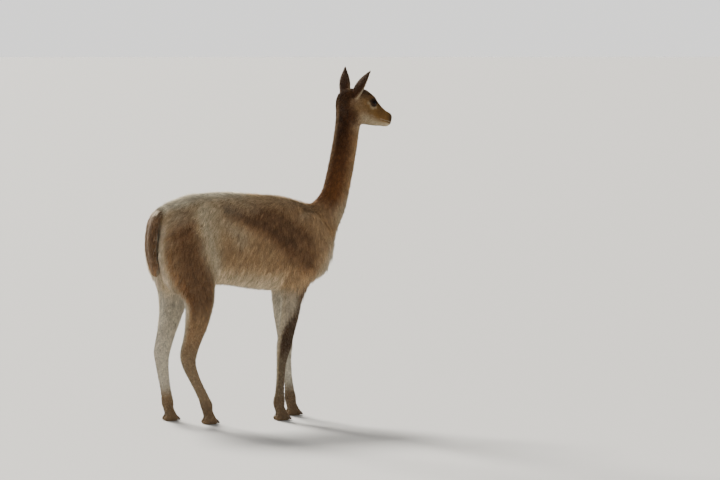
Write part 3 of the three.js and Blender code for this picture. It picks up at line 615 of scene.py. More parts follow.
CREAM = srgb(222, 206, 174)
WHITE = srgb(232, 225, 206)
GREIGE = srgb(198, 184, 156)
FAWN = srgb(188, 154, 114)
CINNAMON = srgb(140, 94, 56)
UMBER = srgb(84, 54, 33)
DARK = srgb(56, 38, 24)
SEPIA = srgb(48, 24, 10)
SOOT = srgb(32, 25, 22)
FACE = srgb(136, 102, 56)
MUZZLE = srgb(112, 82, 44)
EAR_BACK = srgb(66, 40, 20)
FORE_CANNON = srgb(96, 86, 70)
HIND_CANNON = srgb(140, 120, 94)
FETLOCK = srgb(124, 98, 70)
HORN_DARK, HORN_PALE = srgb(44, 34, 28), srgb(104, 84, 66)


def paint(colour, *layers):
    """Layers of (colour, amount) over a colour, one after another."""
    for tint, amount in layers:
        colour = colour + (tint - colour) * np.clip(amount, 0, 1)[:, None]
    return colour


def spot(p, at, radii):
    """1 in the middle of a soft spot, falling to 0."""
    return np.exp(-(((p - at) / radii) ** 2).sum(1))


def wander(p, size, seed):
    """A slow random value between about -1 and 1 over the body."""
    rng = np.random.default_rng(seed)
    total = 0
    for _ in range(6):
        way = unit(rng.normal(size=3)) * (2 * math.pi / size) * rng.uniform(0.6, 1.6)
        total = total + np.sin(p @ way + rng.uniform(0, 2 * math.pi))
    return total / 3


def stroke(p, path):
    """1 along a path of (x, z, width) on both sides of the animal, falling softly to 0 over its width."""
    best = np.zeros(len(p))
    q = p[:, [0, 2]]
    for (x0, z0, w0), (x1, z1, w1) in zip(path, path[1:]):
        a, way = np.array([x0, z0], float), np.array([x1 - x0, z1 - z0], float)
        t = np.clip((q - a) @ way / (way @ way), 0, 1)
        far = norm(q - a - t[:, None] * way)
        best = np.maximum(best, np.exp(-((far / (w0 + (w1 - w0) * t)) ** 2)))
    return best


# Markings of the trunk, as paths of (x, z, width) down its side, and the path of a painted shadow in a crease
SADDLE = [
    (-90, 852, 14), (-20, 834, 26), (50, 802, 36), (130, 758, 46),
    (200, 714, 52), (240, 676, 46), (240, 636, 30),
]
WITHERS = [(50, 842, 24), (120, 816, 34), (190, 776, 44), (236, 726, 44)]
HAUNCH = [
    (-255, 850, 34), (-262, 765, 50), (-240, 690, 50), (-224, 610, 48), (-232, 540, 50), (-222, 470, 46),
]
PALE_BAND = [(-176, 868, 30), (-168, 800, 36), (-154, 710, 36), (-140, 640, 32), (-136, 575, 28)]
LIGHT_FLANK = [(-150, 850, 30), (-90, 800, 38), (-40, 750, 40)]
COLLAR = [(236, 868, 26), (292, 812, 30), (330, 752, 30), (342, 690, 26)]
# painted shade: a dark line where the fleece folds on the flank
CREASE_SHADE = [(-172, 820, 5), (-150, 780, 6), (-136, 742, 7)]


# In the colours of the parts, n are the normals, and each amount is a product of ramps over place and normal
def trunk_colour(p, n):
    (x, y, z), (nx, _, nz) = p.T, n.T
    moved = p + 9 * np.stack([wander(p, 70, 3), 0 * x, wander(p, 70, 4)], 1)
    moved += 4 * np.stack([wander(p, 22, 5), 0 * x, wander(p, 22, 6)], 1)
    flank = ramp(np.abs(y), 30, 75)
    saddle, haunch, withers = (stroke(moved, path) for path in (SADDLE, HAUNCH, WITHERS))
    brown = np.maximum.reduce([saddle, haunch, 0.75 * withers])
    darkest = np.maximum.reduce([0.8 * saddle**2, 0.5 * haunch**2, 0.65 * withers])
    # painted highlight: the coat along the back is painted paler and whiter where it faces up, standing in
    # for sunlight
    towards_sun = n @ unit(np.array([-0.35, 0, 0.94])) - 0.24 * ramp(x, -20, 120)
    painted_sunlight = 0.35 * ramp(towards_sun, 0.3, 0.7) + 0.6 * ramp(towards_sun, 0.66, 0.92)
    return paint(
        FAWN,
        (CINNAMON, 0.14 + 0.16 * wander(p * [1, 1, 0.22], 24, 8) + 0.12 * ramp(moved[:, 2], 770, 850)),
        (CINNAMON, 1.2 * brown * flank),
        (UMBER, darkest * flank),
        (CREAM, stroke(moved, PALE_BAND) * flank),
        (GREIGE, 0.5 * stroke(moved, LIGHT_FLANK) * flank),
        (FAWN, 0.5 * stroke(moved, COLLAR)),
        # painted shade in the crease
        (UMBER, 0.5 * stroke(p, CREASE_SHADE) * flank),
        # painted highlight along the back, paler where it faces the sun
        (CREAM, painted_sunlight * ramp(x, 330, 250)),
        (WHITE, 0.6 * ramp(towards_sun, 0.76, 0.95) * ramp(x, 300, 200)),
        (CREAM, 0.7 * ramp(-nz, 0.1, 0.75) * ramp(z, 700, 600)),
        (CREAM, 0.3 * ramp(moved[:, 2], 590, 530) * ramp(x, -170, -110) * ramp(x, 190, 120)),
        (WHITE, 0.3 * (ramp(-nx, 0.6, 0.95) * ramp(x, -250, -300) * ramp(z, 830, 780))),
    )


def neck_colour(p, n):
    z, nx = p[:, 2], n[:, 0]
    mottled = 1 + 0.25 * wander(p * [1, 1, 0.5], 20, 12)
    front = ramp(nx, -0.2, 0.65)
    return paint(
        CINNAMON,
        (UMBER, 0.6 * ramp(z, 850, 1050) * ramp(nx, 0.5, -0.2)),
        (SEPIA, 0.78 * mottled * ramp(z, 980, 1170) * ramp(nx, 0.3, -0.4)),
        # painted highlight: a paler line down the back of the neck, standing in for the sun's rim light
        (FAWN, 0.45 * ramp(-nx, 0.9, 0.99) * ramp(z, 1290, 1230)),
        (FAWN, 0.8 * front),
        (CREAM, 0.6 * front * np.maximum(ramp(z, 930, 840), ramp(z, 1120, 1200))),
        (GREIGE, 0.4 * ramp(z, 900, 800)),
    )


def body_colour(p, n):
    """Trunk and neck in one, so that no edge shows where they meet."""
    x, z, nx = p[:, 0], p[:, 2], n[:, 0]
    high = ramp(0.775 * x + 0.632 * z, 748, 850)
    colour = trunk_colour(p, n) * (1 - high)[:, None] + neck_colour(p, n) * high[:, None]
    breast = 0.5 * ramp(nx, 0.1, 0.8) * ramp(x, 250, 320) * ramp(z, 780, 640) * (1 - high)
    bib = ramp(nx, 0.6, 0.95) * ramp(x, 290, 345) * ramp(z, 870, 760)
    return paint(colour, (CREAM, breast), (WHITE, 0.65 * bib))


def head_colour(p, n):
    q = to_head(p)
    (x, _, z), (mx, _, mz) = q.T, (n @ head_turn).T
    crown = ramp(mz, 0.05, 0.65) * ramp(x, 165, 100)
    throat = np.maximum(ramp(-mz, 0.1, 0.7), ramp(z, -8, -44)) * ramp(mx, -0.75, -0.2)
    colour = paint(
        FACE,
        (UMBER, 0.92 * crown),
        (SEPIA, 0.6 * crown * ramp(x, 110, 40)),
        (MUZZLE, 0.8 * spot(q * [1, 0, 1], (140, 0, 18), (40, 1, 22))),
        (CREAM, 0.75 * throat * ramp(x, 8, 50)),
    )
    for side in (1, -1):
        e = eye_space(q, side)
        gap = lid_gap(e) + np.maximum(0, 2 - e[:, 2])
        close = ramp(e[:, 2], -4, 4)
        below = ramp(e[:, 1], 2, -10)
        colour = paint(
            colour,
            (CREAM, 0.45 * np.exp(-((gap - 9) / 4) ** 2) * below * close),
            # painted shade under the brow, darker above the eye
            (UMBER, 0.6 * np.exp(-((gap - 7) / 6) ** 2) * ramp(e[:, 1], 2, 12) * close),
            (SOOT, ramp(gap, 5.5, 2.5) * close),
        )
    behind = ramp(x + 0.3 * np.minimum(z, 0), 18, -22)[:, None]
    colour = colour * (1 - behind) + body_colour(p, n) * behind
    nose = 0.85 * ramp(x, 168, 196) * ramp(mz, -0.75, 0.1)
    lips = ramp(x, 190, 206)
    return paint(colour, (DARK, nose), (DARK, 0.8 * lips))


def ear_colour(p, n):
    nearest = np.full(len(p), np.inf)
    inner, up, beside = np.zeros((3, len(p)))
    for axes, base in ears.values():
        q = (p - base) @ axes
        m = n @ axes
        far = norm(q - [0, 0, 40])
        here = far < nearest
        nearest = np.where(here, far, nearest)
        inner = np.where(here, ramp(m[:, 0], 0.1, 0.7), inner)
        up = np.where(here, q[:, 2], up)
        half = np.interp(q[:, 2], [s[2] for s in EAR], [s[4] for s in EAR])
        beside = np.where(here, np.abs(q[:, 1]) / half * ramp(q[:, 0], -6, 2), beside)
    return paint(
        EAR_BACK,
        (SEPIA, 0.6 * ramp(up, 55, 100)),
        (CREAM, 0.8 * inner),
        (CREAM, 0.7 * ramp(beside, 0.84, 0.98)),
    )


def leg_colour(p, n, name):
    z, nx = p[:, 2], n[:, 0]
    outer = ramp(n[:, 1] * side_of(name), -0.35, 0.35)
    if name.startswith("front"):
        wide = 0.35 * ramp(z, 600, 520) + ramp(z, 470, 320)
        stripe = ramp(nx + wide, 0.15, 0.95) * ramp(z, 640, 520) * np.maximum(outer, 0.4)
        colour = paint(
            FAWN,
            (CINNAMON, 0.65 * ramp(z, 560, 640) * outer),
            (WHITE, 0.6 * ramp(z, 570, 480) * ramp(z, 260, 300)),
            (UMBER, stripe * ramp(z, 215, 270)),
            (DARK, 0.6 * stripe * ramp(z, 240, 300) * ramp(z, 430, 330)),
            (FORE_CANNON, 0.85 * ramp(z, 300, 225)),
            (UMBER, 0.5 * ramp(nx, 0.2, 0.9) * ramp(z, 290, 235) * ramp(z, 100, 140)),
            (CREAM, 0.55 * ramp(-nx, 0.6, 0.95) * ramp(z, 120, 180)),
        )
    else:
        colour = paint(
            FAWN,
            (CINNAMON, 0.75 * ramp(z, 380, 500) * outer),
            (UMBER, 0.5 * ramp(z, 400, 500) * outer * ramp(np.abs(nx), 0.8, 0.4)),
            (CREAM, 0.7 * ramp(np.abs(nx), 0.55, 0.95) * ramp(z, 240, 300)),
            (CREAM, 0.5 * ramp(-nx, 0.6, 0.95) * ramp(z, 120, 180)),
            (CINNAMON, 0.3 * ramp(z, 470, 380) * ramp(z, 230, 300) * outer),
            (HIND_CANNON, 0.8 * ramp(z, 400, 230)),
        )
    return paint(colour, (WHITE, 0.8 * (1 - outer) * ramp(z, 90, 160)), (FETLOCK, 0.6 * ramp(z, 110, 70)))


def tail_colour(p, n):
    z = p[:, 2]
    return paint(
        CINNAMON,
        (FAWN, 0.1 + 0.3 * ramp(z, 700, 600) + 0.2 * wander(p, 40, 31)),
        (UMBER, 0.92 * ramp(z, 560, 700)),
        (WHITE, 0.8 * ramp(n[:, 0], 0.55, 0.95)),
    )


# Parts of the animal, with how softly each gives way to its neighbours, its colour and the way its coat lies
PARTS = ["trunk", "neck", "head", "ears", "tail", *LEGS]
SOFTNESS = {"head": 9, "ears": 2.5, "tail": 9}
USUAL_SOFTNESS = 16
COLOURS = {
    "trunk": body_colour, "neck": body_colour, "head": head_colour, "ears": ear_colour, "tail": tail_colour,
}
LIES = {
    "trunk": np.array([-0.42, 0, -0.85]),
    "neck": unit(np.array([-0.2, 0, -1.0])),
    "head": head_turn @ unit(np.array([-1, 0, -0.25])),
    "tail": np.array([0, 0, -1.0]),
    "hind": np.array([-0.15, 0, -1.0]),
    "front": np.array([0, 0, -1.0]),
}
FAR_VALUE, PART_REACH = 400.0, 60
EAR_DEPTH = 6  # further inside the head, the ears have no share


def parts_of(p):
    """For each point, its closeness to each part, adding up to 1, and coat depth, share and angle there."""
    value = np.full((len(PARTS), len(p)), FAR_VALUE)
    depth = np.ones(value.shape)
    share, angle = np.zeros(value.shape), np.zeros(value.shape)
    for i, form in enumerate([trunk, neck, head, ear, tail, *legs.values()]):
        spaces = [p]
        if form is head:
            spaces = [to_head(p)]
        elif form is ear:
            spaces = [(p - base) @ axes for axes, base in ears.values()]
        for k, q in enumerate(spaces):
            near = np.where(((q > form.low - PART_REACH) & (q < form.high + PART_REACH)).all(1))[0]
            if not len(near):
                continue
            v, d, s, a = form.measure(q[near])
            if form is trunk:
                for at, radii, tilt, _ in MASSES:
                    for side in (1, -1):
                        v = np.minimum(v, egg(mirrored(at, side), radii, tilt, p[near]))
            better = v < value[i, near]
            near = near[better]
            value[i, near], depth[i, near] = v[better], d[better]
            share[i, near], angle[i, near] = (s[better] + k) / len(spaces), a[better]
    softness = np.array([SOFTNESS.get(name, USUAL_SOFTNESS) for name in PARTS])[:, None]
    lead = value.min(0)
    weight = np.exp(-(value - lead) / softness)
    weight[PARTS.index("ears")] *= lead > -EAR_DEPTH
    weight /= weight.sum(0)
    return weight, depth, share, angle


def coat_colour(p, n, weight):
    total = np.zeros((len(p), 3))
    for name, amount in zip(PARTS, weight):
        here = amount > 0.01
        if here.any():
            facts = (name,) if name in LEGS else ()
            colour = COLOURS.get(name, leg_colour)(p[here], n[here], *facts)
            total[here] += colour * amount[here][:, None]
    return total / np.maximum(weight.sum(0), 1e-6)[:, None]


def lie_of(p, n, weight):
    """The way the coat lies at each point."""
    total = np.zeros((len(p), 3))
    for name, amount in zip(PARTS, weight):
        if name == "ears":
            (axes_r, base_r), (axes_l, base_l) = ears.values()
            right = norm(p - base_r) < norm(p - base_l)
            way = np.where(right[:, None], axes_r[:, 2], axes_l[:, 2])
        else:
            way = LIES[name.split("_")[0]]
        total += way * amount[:, None]
    total += 0.12 * np.stack([wander(p, 160, seed) for seed in (21, 22, 23)], 1)
    return unit(total - n * (total * n).sum(1, keepdims=True))


# The skin
BODY_CELL, HEAD_CELL, FOOT_CELL, NAIL_CELL = 5.5, 1.9, 2.6, 1.2
BODY_BOX = ((-415, -175, 52), (530, 175, 1180))
HEAD_BOX = ((385, -95, 1100), (700, 120, 1410))
FOOT_BOX = ((-45, -48, -8), (75, 48, 112))  # about the leg's last station


def vertex_normals(points, quads):
    """Area-weighted normals of the mesh's points."""
    a, b, c, d = (points[quads[:, k]] for k in range(4))
    flat = np.cross(c - a, d - b)
    out = np.zeros_like(points)
    for k in range(4):
        np.add.at(out, quads[:, k], flat)
    return unit(out)


class Shell:
    """One mesh of the skin, with what the coat needs to know at its points."""

    def __init__(self, field, box, cell):
        self.grid = Grid(field, *box, cell)
        self.points, self.quads = net(self.grid, field)
        self.normals = vertex_normals(self.points, self.quads)
        self.weight, depth, _, _ = parts_of(self.points)
        self.coat = (self.weight * depth).sum(0)
        self.colours = coat_colour(self.points, self.normals, self.weight)


def foot_shell(name):
    x, y = LEGS[name][-1][:2]
    box = [(a + x, b + y, c) for a, b, c in FOOT_BOX]
    return Shell(feet[name][0], box, FOOT_CELL)


body_shell = Shell(body_skin, BODY_BOX, BODY_CELL)
head_shell = Shell(head_skin, HEAD_BOX, HEAD_CELL)
foot_shells = {name: foot_shell(name) for name in LEGS}
shells = [body_shell, head_shell, *foot_shells.values()]
starts = np.cumsum([0] + [len(shell.points) for shell in shells])
skin = add_mesh(
    "skin",
    np.concatenate([shell.points for shell in shells]),
    np.concatenate([shell.quads + start for shell, start in zip(shells, starts)]),
    np.concatenate([shell.colours for shell in shells]),
    normals=np.concatenate([shell.normals for shell in shells]),
)

# The coat
TUFT_PATCH = 0.003
LOWEST = 0.6  # height of the lowest tips above the floor
SUNK = 1.2  # depth of a blade's root under the skin
JITTER = 0.16  # how far blades stray from the lie
TWIST = 0.45
TAPER = {0: 0.8, 0.5: 1.0}
GATHERED = {0: 0, 0.5: 0.3, 1: 0.62}  # how far a blade is drawn towards its clump, by its share of length
RISE = 0.72  # height halfway up a blade, as a share of the height of its tip
RIDGE = 0.7  # height of the ridge along a blade, as a share of its half width
# Blades are painted darker at the root: painted shade where the blades shade each other.
ROOT_SHADE, TIP_SHADE = 0.54, 0.56  # brightness at the root, and what is added towards the tip
CLUMP_EDGE = 0.62  # where a clump ends, as a share of its size
WAVE = 0.35  # how far the clumps stray from the lie


def scatter(points, quads, wanted, rng):
    """Random places on the quads, as corners and their weights. Wanted is how many per square mm."""
    a, b, c, d = (points[quads[:, k]] for k in range(4))
    first = norm(np.cross(b - a, c - a))
    second = norm(np.cross(c - a, d - a))
    rate = wanted[quads].mean(1) * ((first + second) / 2)
    count = np.floor(rate + rng.random(len(rate))).astype(int)
    face = np.repeat(np.arange(len(quads)), count)
    s, t = rng.random((2, len(face)))
    w = np.stack([(1 - s) * (1 - t), s * (1 - t), s * t, (1 - s) * t], 1)
    return quads[face], w


def hashed(cells, seed):
    """Three repeatable random numbers from 0 to 1 for each row of whole numbers."""
    h = (cells[:, 0] * 73856093) ^ (cells[:, 1] * 19349663) ^ (cells[:, 2] * 83492791) ^ seed * 2654435761
    out = []
    for _ in range(3):
        h = (h ^ (h >> 13)) * 1274126177 & 0xFFFFFFFF
        h = h ^ (h >> 16)
        out.append((h & 0xFFFF) / 65535)
    return np.stack(out, 1)


def clump_of(p, size, seed):
    """The centre of the clump that each point belongs to, and the clump's own random numbers."""
    home = np.floor(p / size).astype(np.int64)
    best = np.full(len(p), np.inf)
    middle = np.zeros_like(p)
    draws = np.zeros_like(p)
    for step in itertools.product((-1, 0, 1), repeat=3):
        cell = home + step
        r = hashed(cell, seed)
        c = (cell + r) * size
        far = ((p - c) ** 2).sum(1)
        closer = far < best
        best = np.where(closer, far, best)
        middle[closer] = c[closer]
        draws[closer] = r[closer]
    return middle, draws


def along_axis(v, way):
    return (v * way[:, None, :]).sum(2, keepdims=True) * way[:, None, :]


def in_plane(v, normal):
    return v - normal * (v * normal).sum(1, keepdims=True)


def blade_faces(count, rings):
    """Triangles of closed blades of three-sided rings and a tip."""
    faces = [(0, 1, 2)]
    for k in range(rings - 1):
        for j in range(3):
            i = (j + 1) % 3
            faces += [(k * 3 + j, k * 3 + 3 + i, k * 3 + i), (k * 3 + j, k * 3 + 3 + j, k * 3 + 3 + i)]
    last = (rings - 1) * 3
    tip = rings * 3
    faces += [(last + (j + 1) % 3, last + j, tip) for j in range(3)]
    return (np.array(faces)[None] + (np.arange(count) * (tip + 1))[:, None, None]).reshape(-1, 3)


def blades(grid, root, normal, lie, length, width, height, rng, clump, mid, droop, fluff):
    """Closed tapered blades from the skin outwards: points, triangles, shares of the length, normals.

    Mid gives a blade a bend halfway. Fluff is how much its own form shows in its shading, against the body's.
    """
    n = len(root)
    shares = (0, 0.5, 1) if mid else (0, 1)
    way = unit(in_plane(unit(lie + JITTER * rng.normal(size=(n, 3))), normal))
    at, out = root.copy(), normal.copy()
    stations = []
    done = 0
    for s in shares:
        if s > done:
            at = at + way * (length * (s - done))[:, None]
            out = grid.slope(at)
            at = at - out * grid.at(at)[:, None]
            way = unit(in_plane(way, out))
            done = s
        rise = {0: -SUNK + 0 * height, 0.5: height * RISE, 1: height}[s]
        point = at + out * rise[:, None] + in_plane(clump - root, out) * GATHERED[s]
        point[:, 2] -= droop * length * s * s
        stations.append((point, out.copy()))
    spin = rng.normal(0, TWIST, n)[:, None]
    points, along = [], []
    for (point, out), (ahead, _), s in zip(stations, stations[1:], shares):
        ahead = unit(ahead - point)
        across = unit(np.cross(ahead, out))
        up = np.cross(across, ahead)
        across, up = across * np.cos(spin) + up * np.sin(spin), up * np.cos(spin) - across * np.sin(spin)
        half = (width / 2 * TAPER[s])[:, None]
        points += [point - across * half, point + across * half, point + up * half * RIDGE]
        along += [np.full(n, s)] * 3
    points = np.stack([*points, stations[-1][0]], 1)
    along = np.stack([*along, np.ones(n)], 1)
    points[:, :, 2] = np.maximum(points[:, :, 2], LOWEST)
    bent = points - points.mean(1, keepdims=True)
    bent = unit(bent - 0.98 * along_axis(bent, unit(stations[-1][0] - stations[0][0])))
    facing = unit(normal[:, None, :] * (1 - fluff) + bent * fluff)
    return points.reshape(-1, 3), blade_faces(n, len(shares) - 1), along, facing.reshape(-1, 3)


def tuft_uv(place, along):
    """A patch about 0.003 across for each tuft, at its root's place."""
    per = along.shape[1]
    ring = np.tile([-0.5, 0.5, 0.0], (per + 2) // 3)[:per]
    ring[-1] = 0
    across = np.tile(ring, len(place))
    uv = np.repeat(place, per, axis=0)
    return uv + np.stack([across, along.ravel() - 0.5], 1) * TUFT_PATCH


def grow(
    name, shell, parts, cover, seed, keep, long=(6, 1.8), wide=(1.2, 0.085), clump=(8, 0.7), mid=False,
    pieces=1, lift=1.0, droop=0.0, bleach=0.12, tip=CREAM, fluff=0.75,
):
    """One region of the coat, as one or more pieces.

    Cover is how many blades lie over each other, and keep says which points of the skin the region takes.
    Long and wide are a blade's length and width, as a base and a factor of the coat's depth, and lift is its
    height as a factor of it. Clump is the size of the clumps, and how closely they gather.
    """
    rng = np.random.default_rng(seed)
    rows = np.array([PARTS.index(part) for part in parts])
    here = np.isin(shell.weight.argmax(0), rows) & keep(shell.points)
    length = long[0] + long[1] * shell.coat
    width = wide[0] + wide[1] * shell.coat
    filled = 0.75 if mid else 0.5
    wanted = np.where(here, cover / (length * width * filled), 0)
    corner, w = scatter(shell.points, shell.quads, wanted, rng)

    def at(values):
        return (values[corner] * (w[..., None] if values.ndim == 2 else w)).sum(1)

    root, normal = at(shell.points), unit(at(shell.normals))
    coat, colour = at(shell.coat), at(shell.colours)
    n = len(root)
    weight, _, share, angle = parts_of(root)
    main = rows[weight[rows].argmax(0)]
    share, angle = share[main, np.arange(n)], angle[main, np.arange(n)]
    lie = lie_of(root, normal, weight)
    # each blade and each clump strays a little in length, width, height and tone; blades at a clump's edge
    # are lower, and painted darker as painted shade in the creases between clumps
    middle, draws = clump_of(root, clump[0], seed)
    length = (long[0] + long[1] * coat) * rng.uniform(0.75, 1.15, n)
    width = (wide[0] + wide[1] * coat) * rng.uniform(0.8, 1.25, n)
    edge = np.clip(norm(middle - root) / (CLUMP_EDGE * clump[0]), 0, 1) ** 2
    height = coat * lift * (0.74 + 0.28 * draws[:, 2]) * rng.uniform(0.85, 1.02, n) * (1 - 0.3 * edge) + 0.3
    lie = unit(lie + (draws - 0.5) * WAVE)
    target = root + (middle - root) * clump[1]
    # painted shade: blades at a clump's edge are darker, in the creases between clumps
    tone = (0.7 + 0.6 * draws[:, 1]) * rng.uniform(0.76, 1.24, n) * (1.08 - 0.36 * edge)
    made = []
    order = np.argsort(angle) if pieces > 1 else np.arange(n)
    for k, group in enumerate(np.array_split(order, pieces)):
        form = (values[group] for values in (root, normal, lie, length, width, height))
        points, faces, along, facing = blades(shell.grid, *form, rng, target[group], mid, droop, fluff)
        place = np.stack([(angle[group] + math.pi) / (2 * math.pi), share[group] + main[group]], 1)
        low, high = place.min(0), place.max(0)
        place = 0.02 + 0.96 * (place - low) / np.maximum(high - low, 1e-6)
        uv = tuft_uv(place, along)
        per = along.shape[1]
        along = along.ravel()
        # painted shade: each blade darker at its root
        shade = (ROOT_SHADE + TIP_SHADE * along)[:, None] * np.repeat(tone[group], per)[:, None]
        tint = paint(np.repeat(colour[group], per, axis=0), (tip, bleach * along**2))
        label = name if pieces == 1 else f"{name}_{k + 1}"
        made.append(add_mesh(label, points, faces, np.clip(tint * shade, 0, 1), uv, facing))
    return made


KNEE_SPLIT = 380  # height where the coat of the upper leg gives way to the lower leg's
FOOT_COAT_FROM = 9


def heights(low, high=np.inf):
    """A test for points between two heights."""
    return lambda p: (p[:, 2] > low) & (p[:, 2] < high)


body_only = heights(FEET_TO - 2, HEAD_FROM + 2)
upper_leg = heights(KNEE_SPLIT, HEAD_FROM + 2)
lower_leg = heights(FEET_TO - 2, KNEE_SPLIT)
foot_only = heights(FOOT_COAT_FROM, FEET_TO)
head_only = heights(HEAD_FROM)


def shaggy(p):
    """Where locks hang out of the coat: the belly's edge, the chest and the rear of the thighs."""
    (x, _, z), (nx, _, nz) = p.T, body_shell.grid.slope(p).T
    belly = (nz < -0.15) & (z < 640) & (z > 500)
    chest = (nx > 0.5) & (x > 260) & (z > 540) & (z < 720)
    thigh = (nx < -0.45) & (x < -200) & (z > 400) & (z < 700)
    return belly | chest | thigh


coat = grow("coat_torso", body_shell, ["trunk"], 7.5, 101, body_only, clump=(11, 0.7), pieces=4)
coat += grow("coat_neck", body_shell, ["neck"], 6, 102, body_only, pieces=2, bleach=0.08, tip=CINNAMON)
coat += grow(
    "coat_tail", body_shell, ["tail"], 6, 103, body_only,
    long=(16, 2.6), wide=(1.3, 0.14), clump=(12, 0.7), mid=True, fluff=0.4,
)
for i, name in enumerate(LEGS):
    coat += grow(f"coat_{name}_upper", body_shell, [name], 5, 110 + i, upper_leg)
    coat += grow(
        f"coat_{name}_lower", body_shell, [name], 2.4, 120 + i, lower_leg,
        long=(7, 1.2), wide=(1.3, 0.14), clump=(8, 0.8),
    )
    coat += grow(
        f"coat_{name}_foot", foot_shells[name], [name], 2.5, 130 + i, foot_only,
        long=(6, 1), wide=(1.3, 0.14), clump=(6, 0.6),
    )
coat += grow(
    "coat_fringe", body_shell, ["trunk", "neck", *LEGS], 2.2, 107, shaggy,
    long=(24, 0.6), wide=(1.2, 0.04), clump=(16, 0.7), mid=True,
    lift=1.05, droop=0.28, bleach=0.03, fluff=0.25,
)
coat += grow("coat_nape", head_shell, ["neck"], 5, 104, head_only, clump=(7, 0.7), bleach=0.06, tip=CINNAMON)
coat += grow(
    "coat_head", head_shell, ["head"], 3.2, 105, head_only,
    long=(5, 1.3), wide=(0.9, 0.14), clump=(5, 0.5), pieces=2, bleach=0.08, tip=FAWN,
)
coat += grow(
    "coat_ears", head_shell, ["ears"], 3.2, 106, head_only,
    long=(8, 1.0), wide=(1, 0.1), clump=(5, 0.4), bleach=0.03, tip=CINNAMON,
)


# Materials
def set_sockets(node, **values):
    """Sets sockets by name, with _ for a space."""
    for name, value in values.items():
        node.inputs[name.replace("_", " ")].default_value = value


def add_node(tree, kind, **values):
    node = tree.nodes.new("ShaderNode" + kind)
    set_sockets(node, **values)
    return node


def add_ramp(tree, *stops):
    """A colour ramp with two stops of place and colour."""
    node = add_node(tree, "ValToRGB")
    for element, (place, colour) in zip(node.color_ramp.elements, stops):
        element.position = place
        element.color = (*colour, 1)
    return node


def attribute(tree, name):
    node = add_node(tree, "Attribute")
    node.attribute_name = name
    return node


def join(source, output, target, socket):
    source.id_data.links.new(source.outputs[output], target.inputs[socket])


def new_material(name):
    material = bpy.data.materials.new(name)
    material.use_nodes = True
    tree = material.node_tree
    return material, tree, tree.nodes["Principled BSDF"]


def add_bump(tree, noise, shader, strength, distance):
    raised = add_node(tree, "Bump", Strength=strength, Distance=distance)
    join(noise, "Fac", raised, "Height")
    join(raised, "Normal", shader, "Normal")


def coat_material(name, brightness, speckle, bump, scale):
    """The painted colour, brighter and darker by a fine speckle, with a dull sheen."""
    material, tree, shader = new_material(name)
    set_sockets(shader, Roughness=0.8, Specular_IOR_Level=0.15)
    set_sockets(shader, Sheen_Weight=0.2, Sheen_Roughness=0.25, Sheen_Tint=(1, 0.9, 0.74, 1))
    fine = add_node(tree, "TexNoise", Scale=scale, Detail=4, Roughness=0.6)
    join(add_node(tree, "TexCoord"), "Object", fine, "Vector")
    darkest, brightest = brightness * (1 - speckle), brightness * (1 + speckle)
    tone = add_node(tree, "MapRange", From_Min=0.3, From_Max=0.7, To_Min=darkest, To_Max=brightest)
    join(fine, "Fac", tone, "Value")
    product = add_node(tree, "VectorMath")
    product.operation = "SCALE"
    join(attribute(tree, "coat"), "Color", product, 0)
    join(tone, "Result", product, "Scale")
    join(product, "Vector", shader, "Base Color")
    add_bump(tree, fine, shader, bump, 0.002)
    return material


def eye_material():
    material, tree, shader = new_material("wet_eye")
    set_sockets(shader, Roughness=0.09, Specular_IOR_Level=0.08)
    ring = add_ramp(tree, (0.42, (0.004, 0.003, 0.003)), (0.6, (0.045, 0.02, 0.009)))
    join(attribute(tree, "pupil"), "Fac", ring, "Fac")
    mixed = add_node(tree, "Mix")
    mixed.data_type = "RGBA"
    mixed.blend_type = "MULTIPLY"
    set_sockets(mixed, Factor=0.4)
    join(ring, "Color", mixed, 6)
    join(add_node(tree, "TexNoise", Scale=900, Detail=3), "Color", mixed, 7)
    join(mixed, 2, shader, "Base Color")
    return material


def horn_material():
    material, tree, shader = new_material("horn")
    set_sockets(shader, Roughness=0.5)
    streaks = add_node(tree, "Mapping", Scale=(0.35, 1, 1))
    join(add_node(tree, "TexCoord"), "Object", streaks, "Vector")
    grain = add_node(tree, "TexNoise", Scale=220, Detail=5, Roughness=0.65)
    join(streaks, "Vector", grain, "Vector")
    tint = add_ramp(tree, (0, HORN_DARK), (1, HORN_PALE))
    join(grain, "Fac", tint, "Fac")
    join(tint, "Color", shader, "Base Color")
    add_bump(tree, grain, shader, 0.3, 0.001)
    return material


def floor_material():
    material, _, shader = new_material("pale_floor")
    set_sockets(shader, Roughness=0.9, Base_Color=(0.4, 0.396, 0.39, 1))
    return material


def dress(piece, material):
    piece.data.materials.append(material)
    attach(piece, "root")


# The skin is painted darker than the coat's colour: painted shade where it shows between the tufts.
dress(skin, coat_material("short_coat", 0.85, 0.15, 0.5, 350))
flesh = ["torso", "neck", "head", "ear_right", "ear_left", "tail"]
flesh += [f"leg_{name}_{part}" for name in LEGS for part in ("upper", "lower")]
flesh += [f"foot_{name}" for name in LEGS]
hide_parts(*flesh)
tufts = coat_material("tufts", 1.12, 0.3, 0.15, 190)
for piece in coat:
    dress(piece, tufts)

# Eyes
EYE_TURNS, EYE_RISES = 48, 32
PUPIL = (9.5, 6.5)


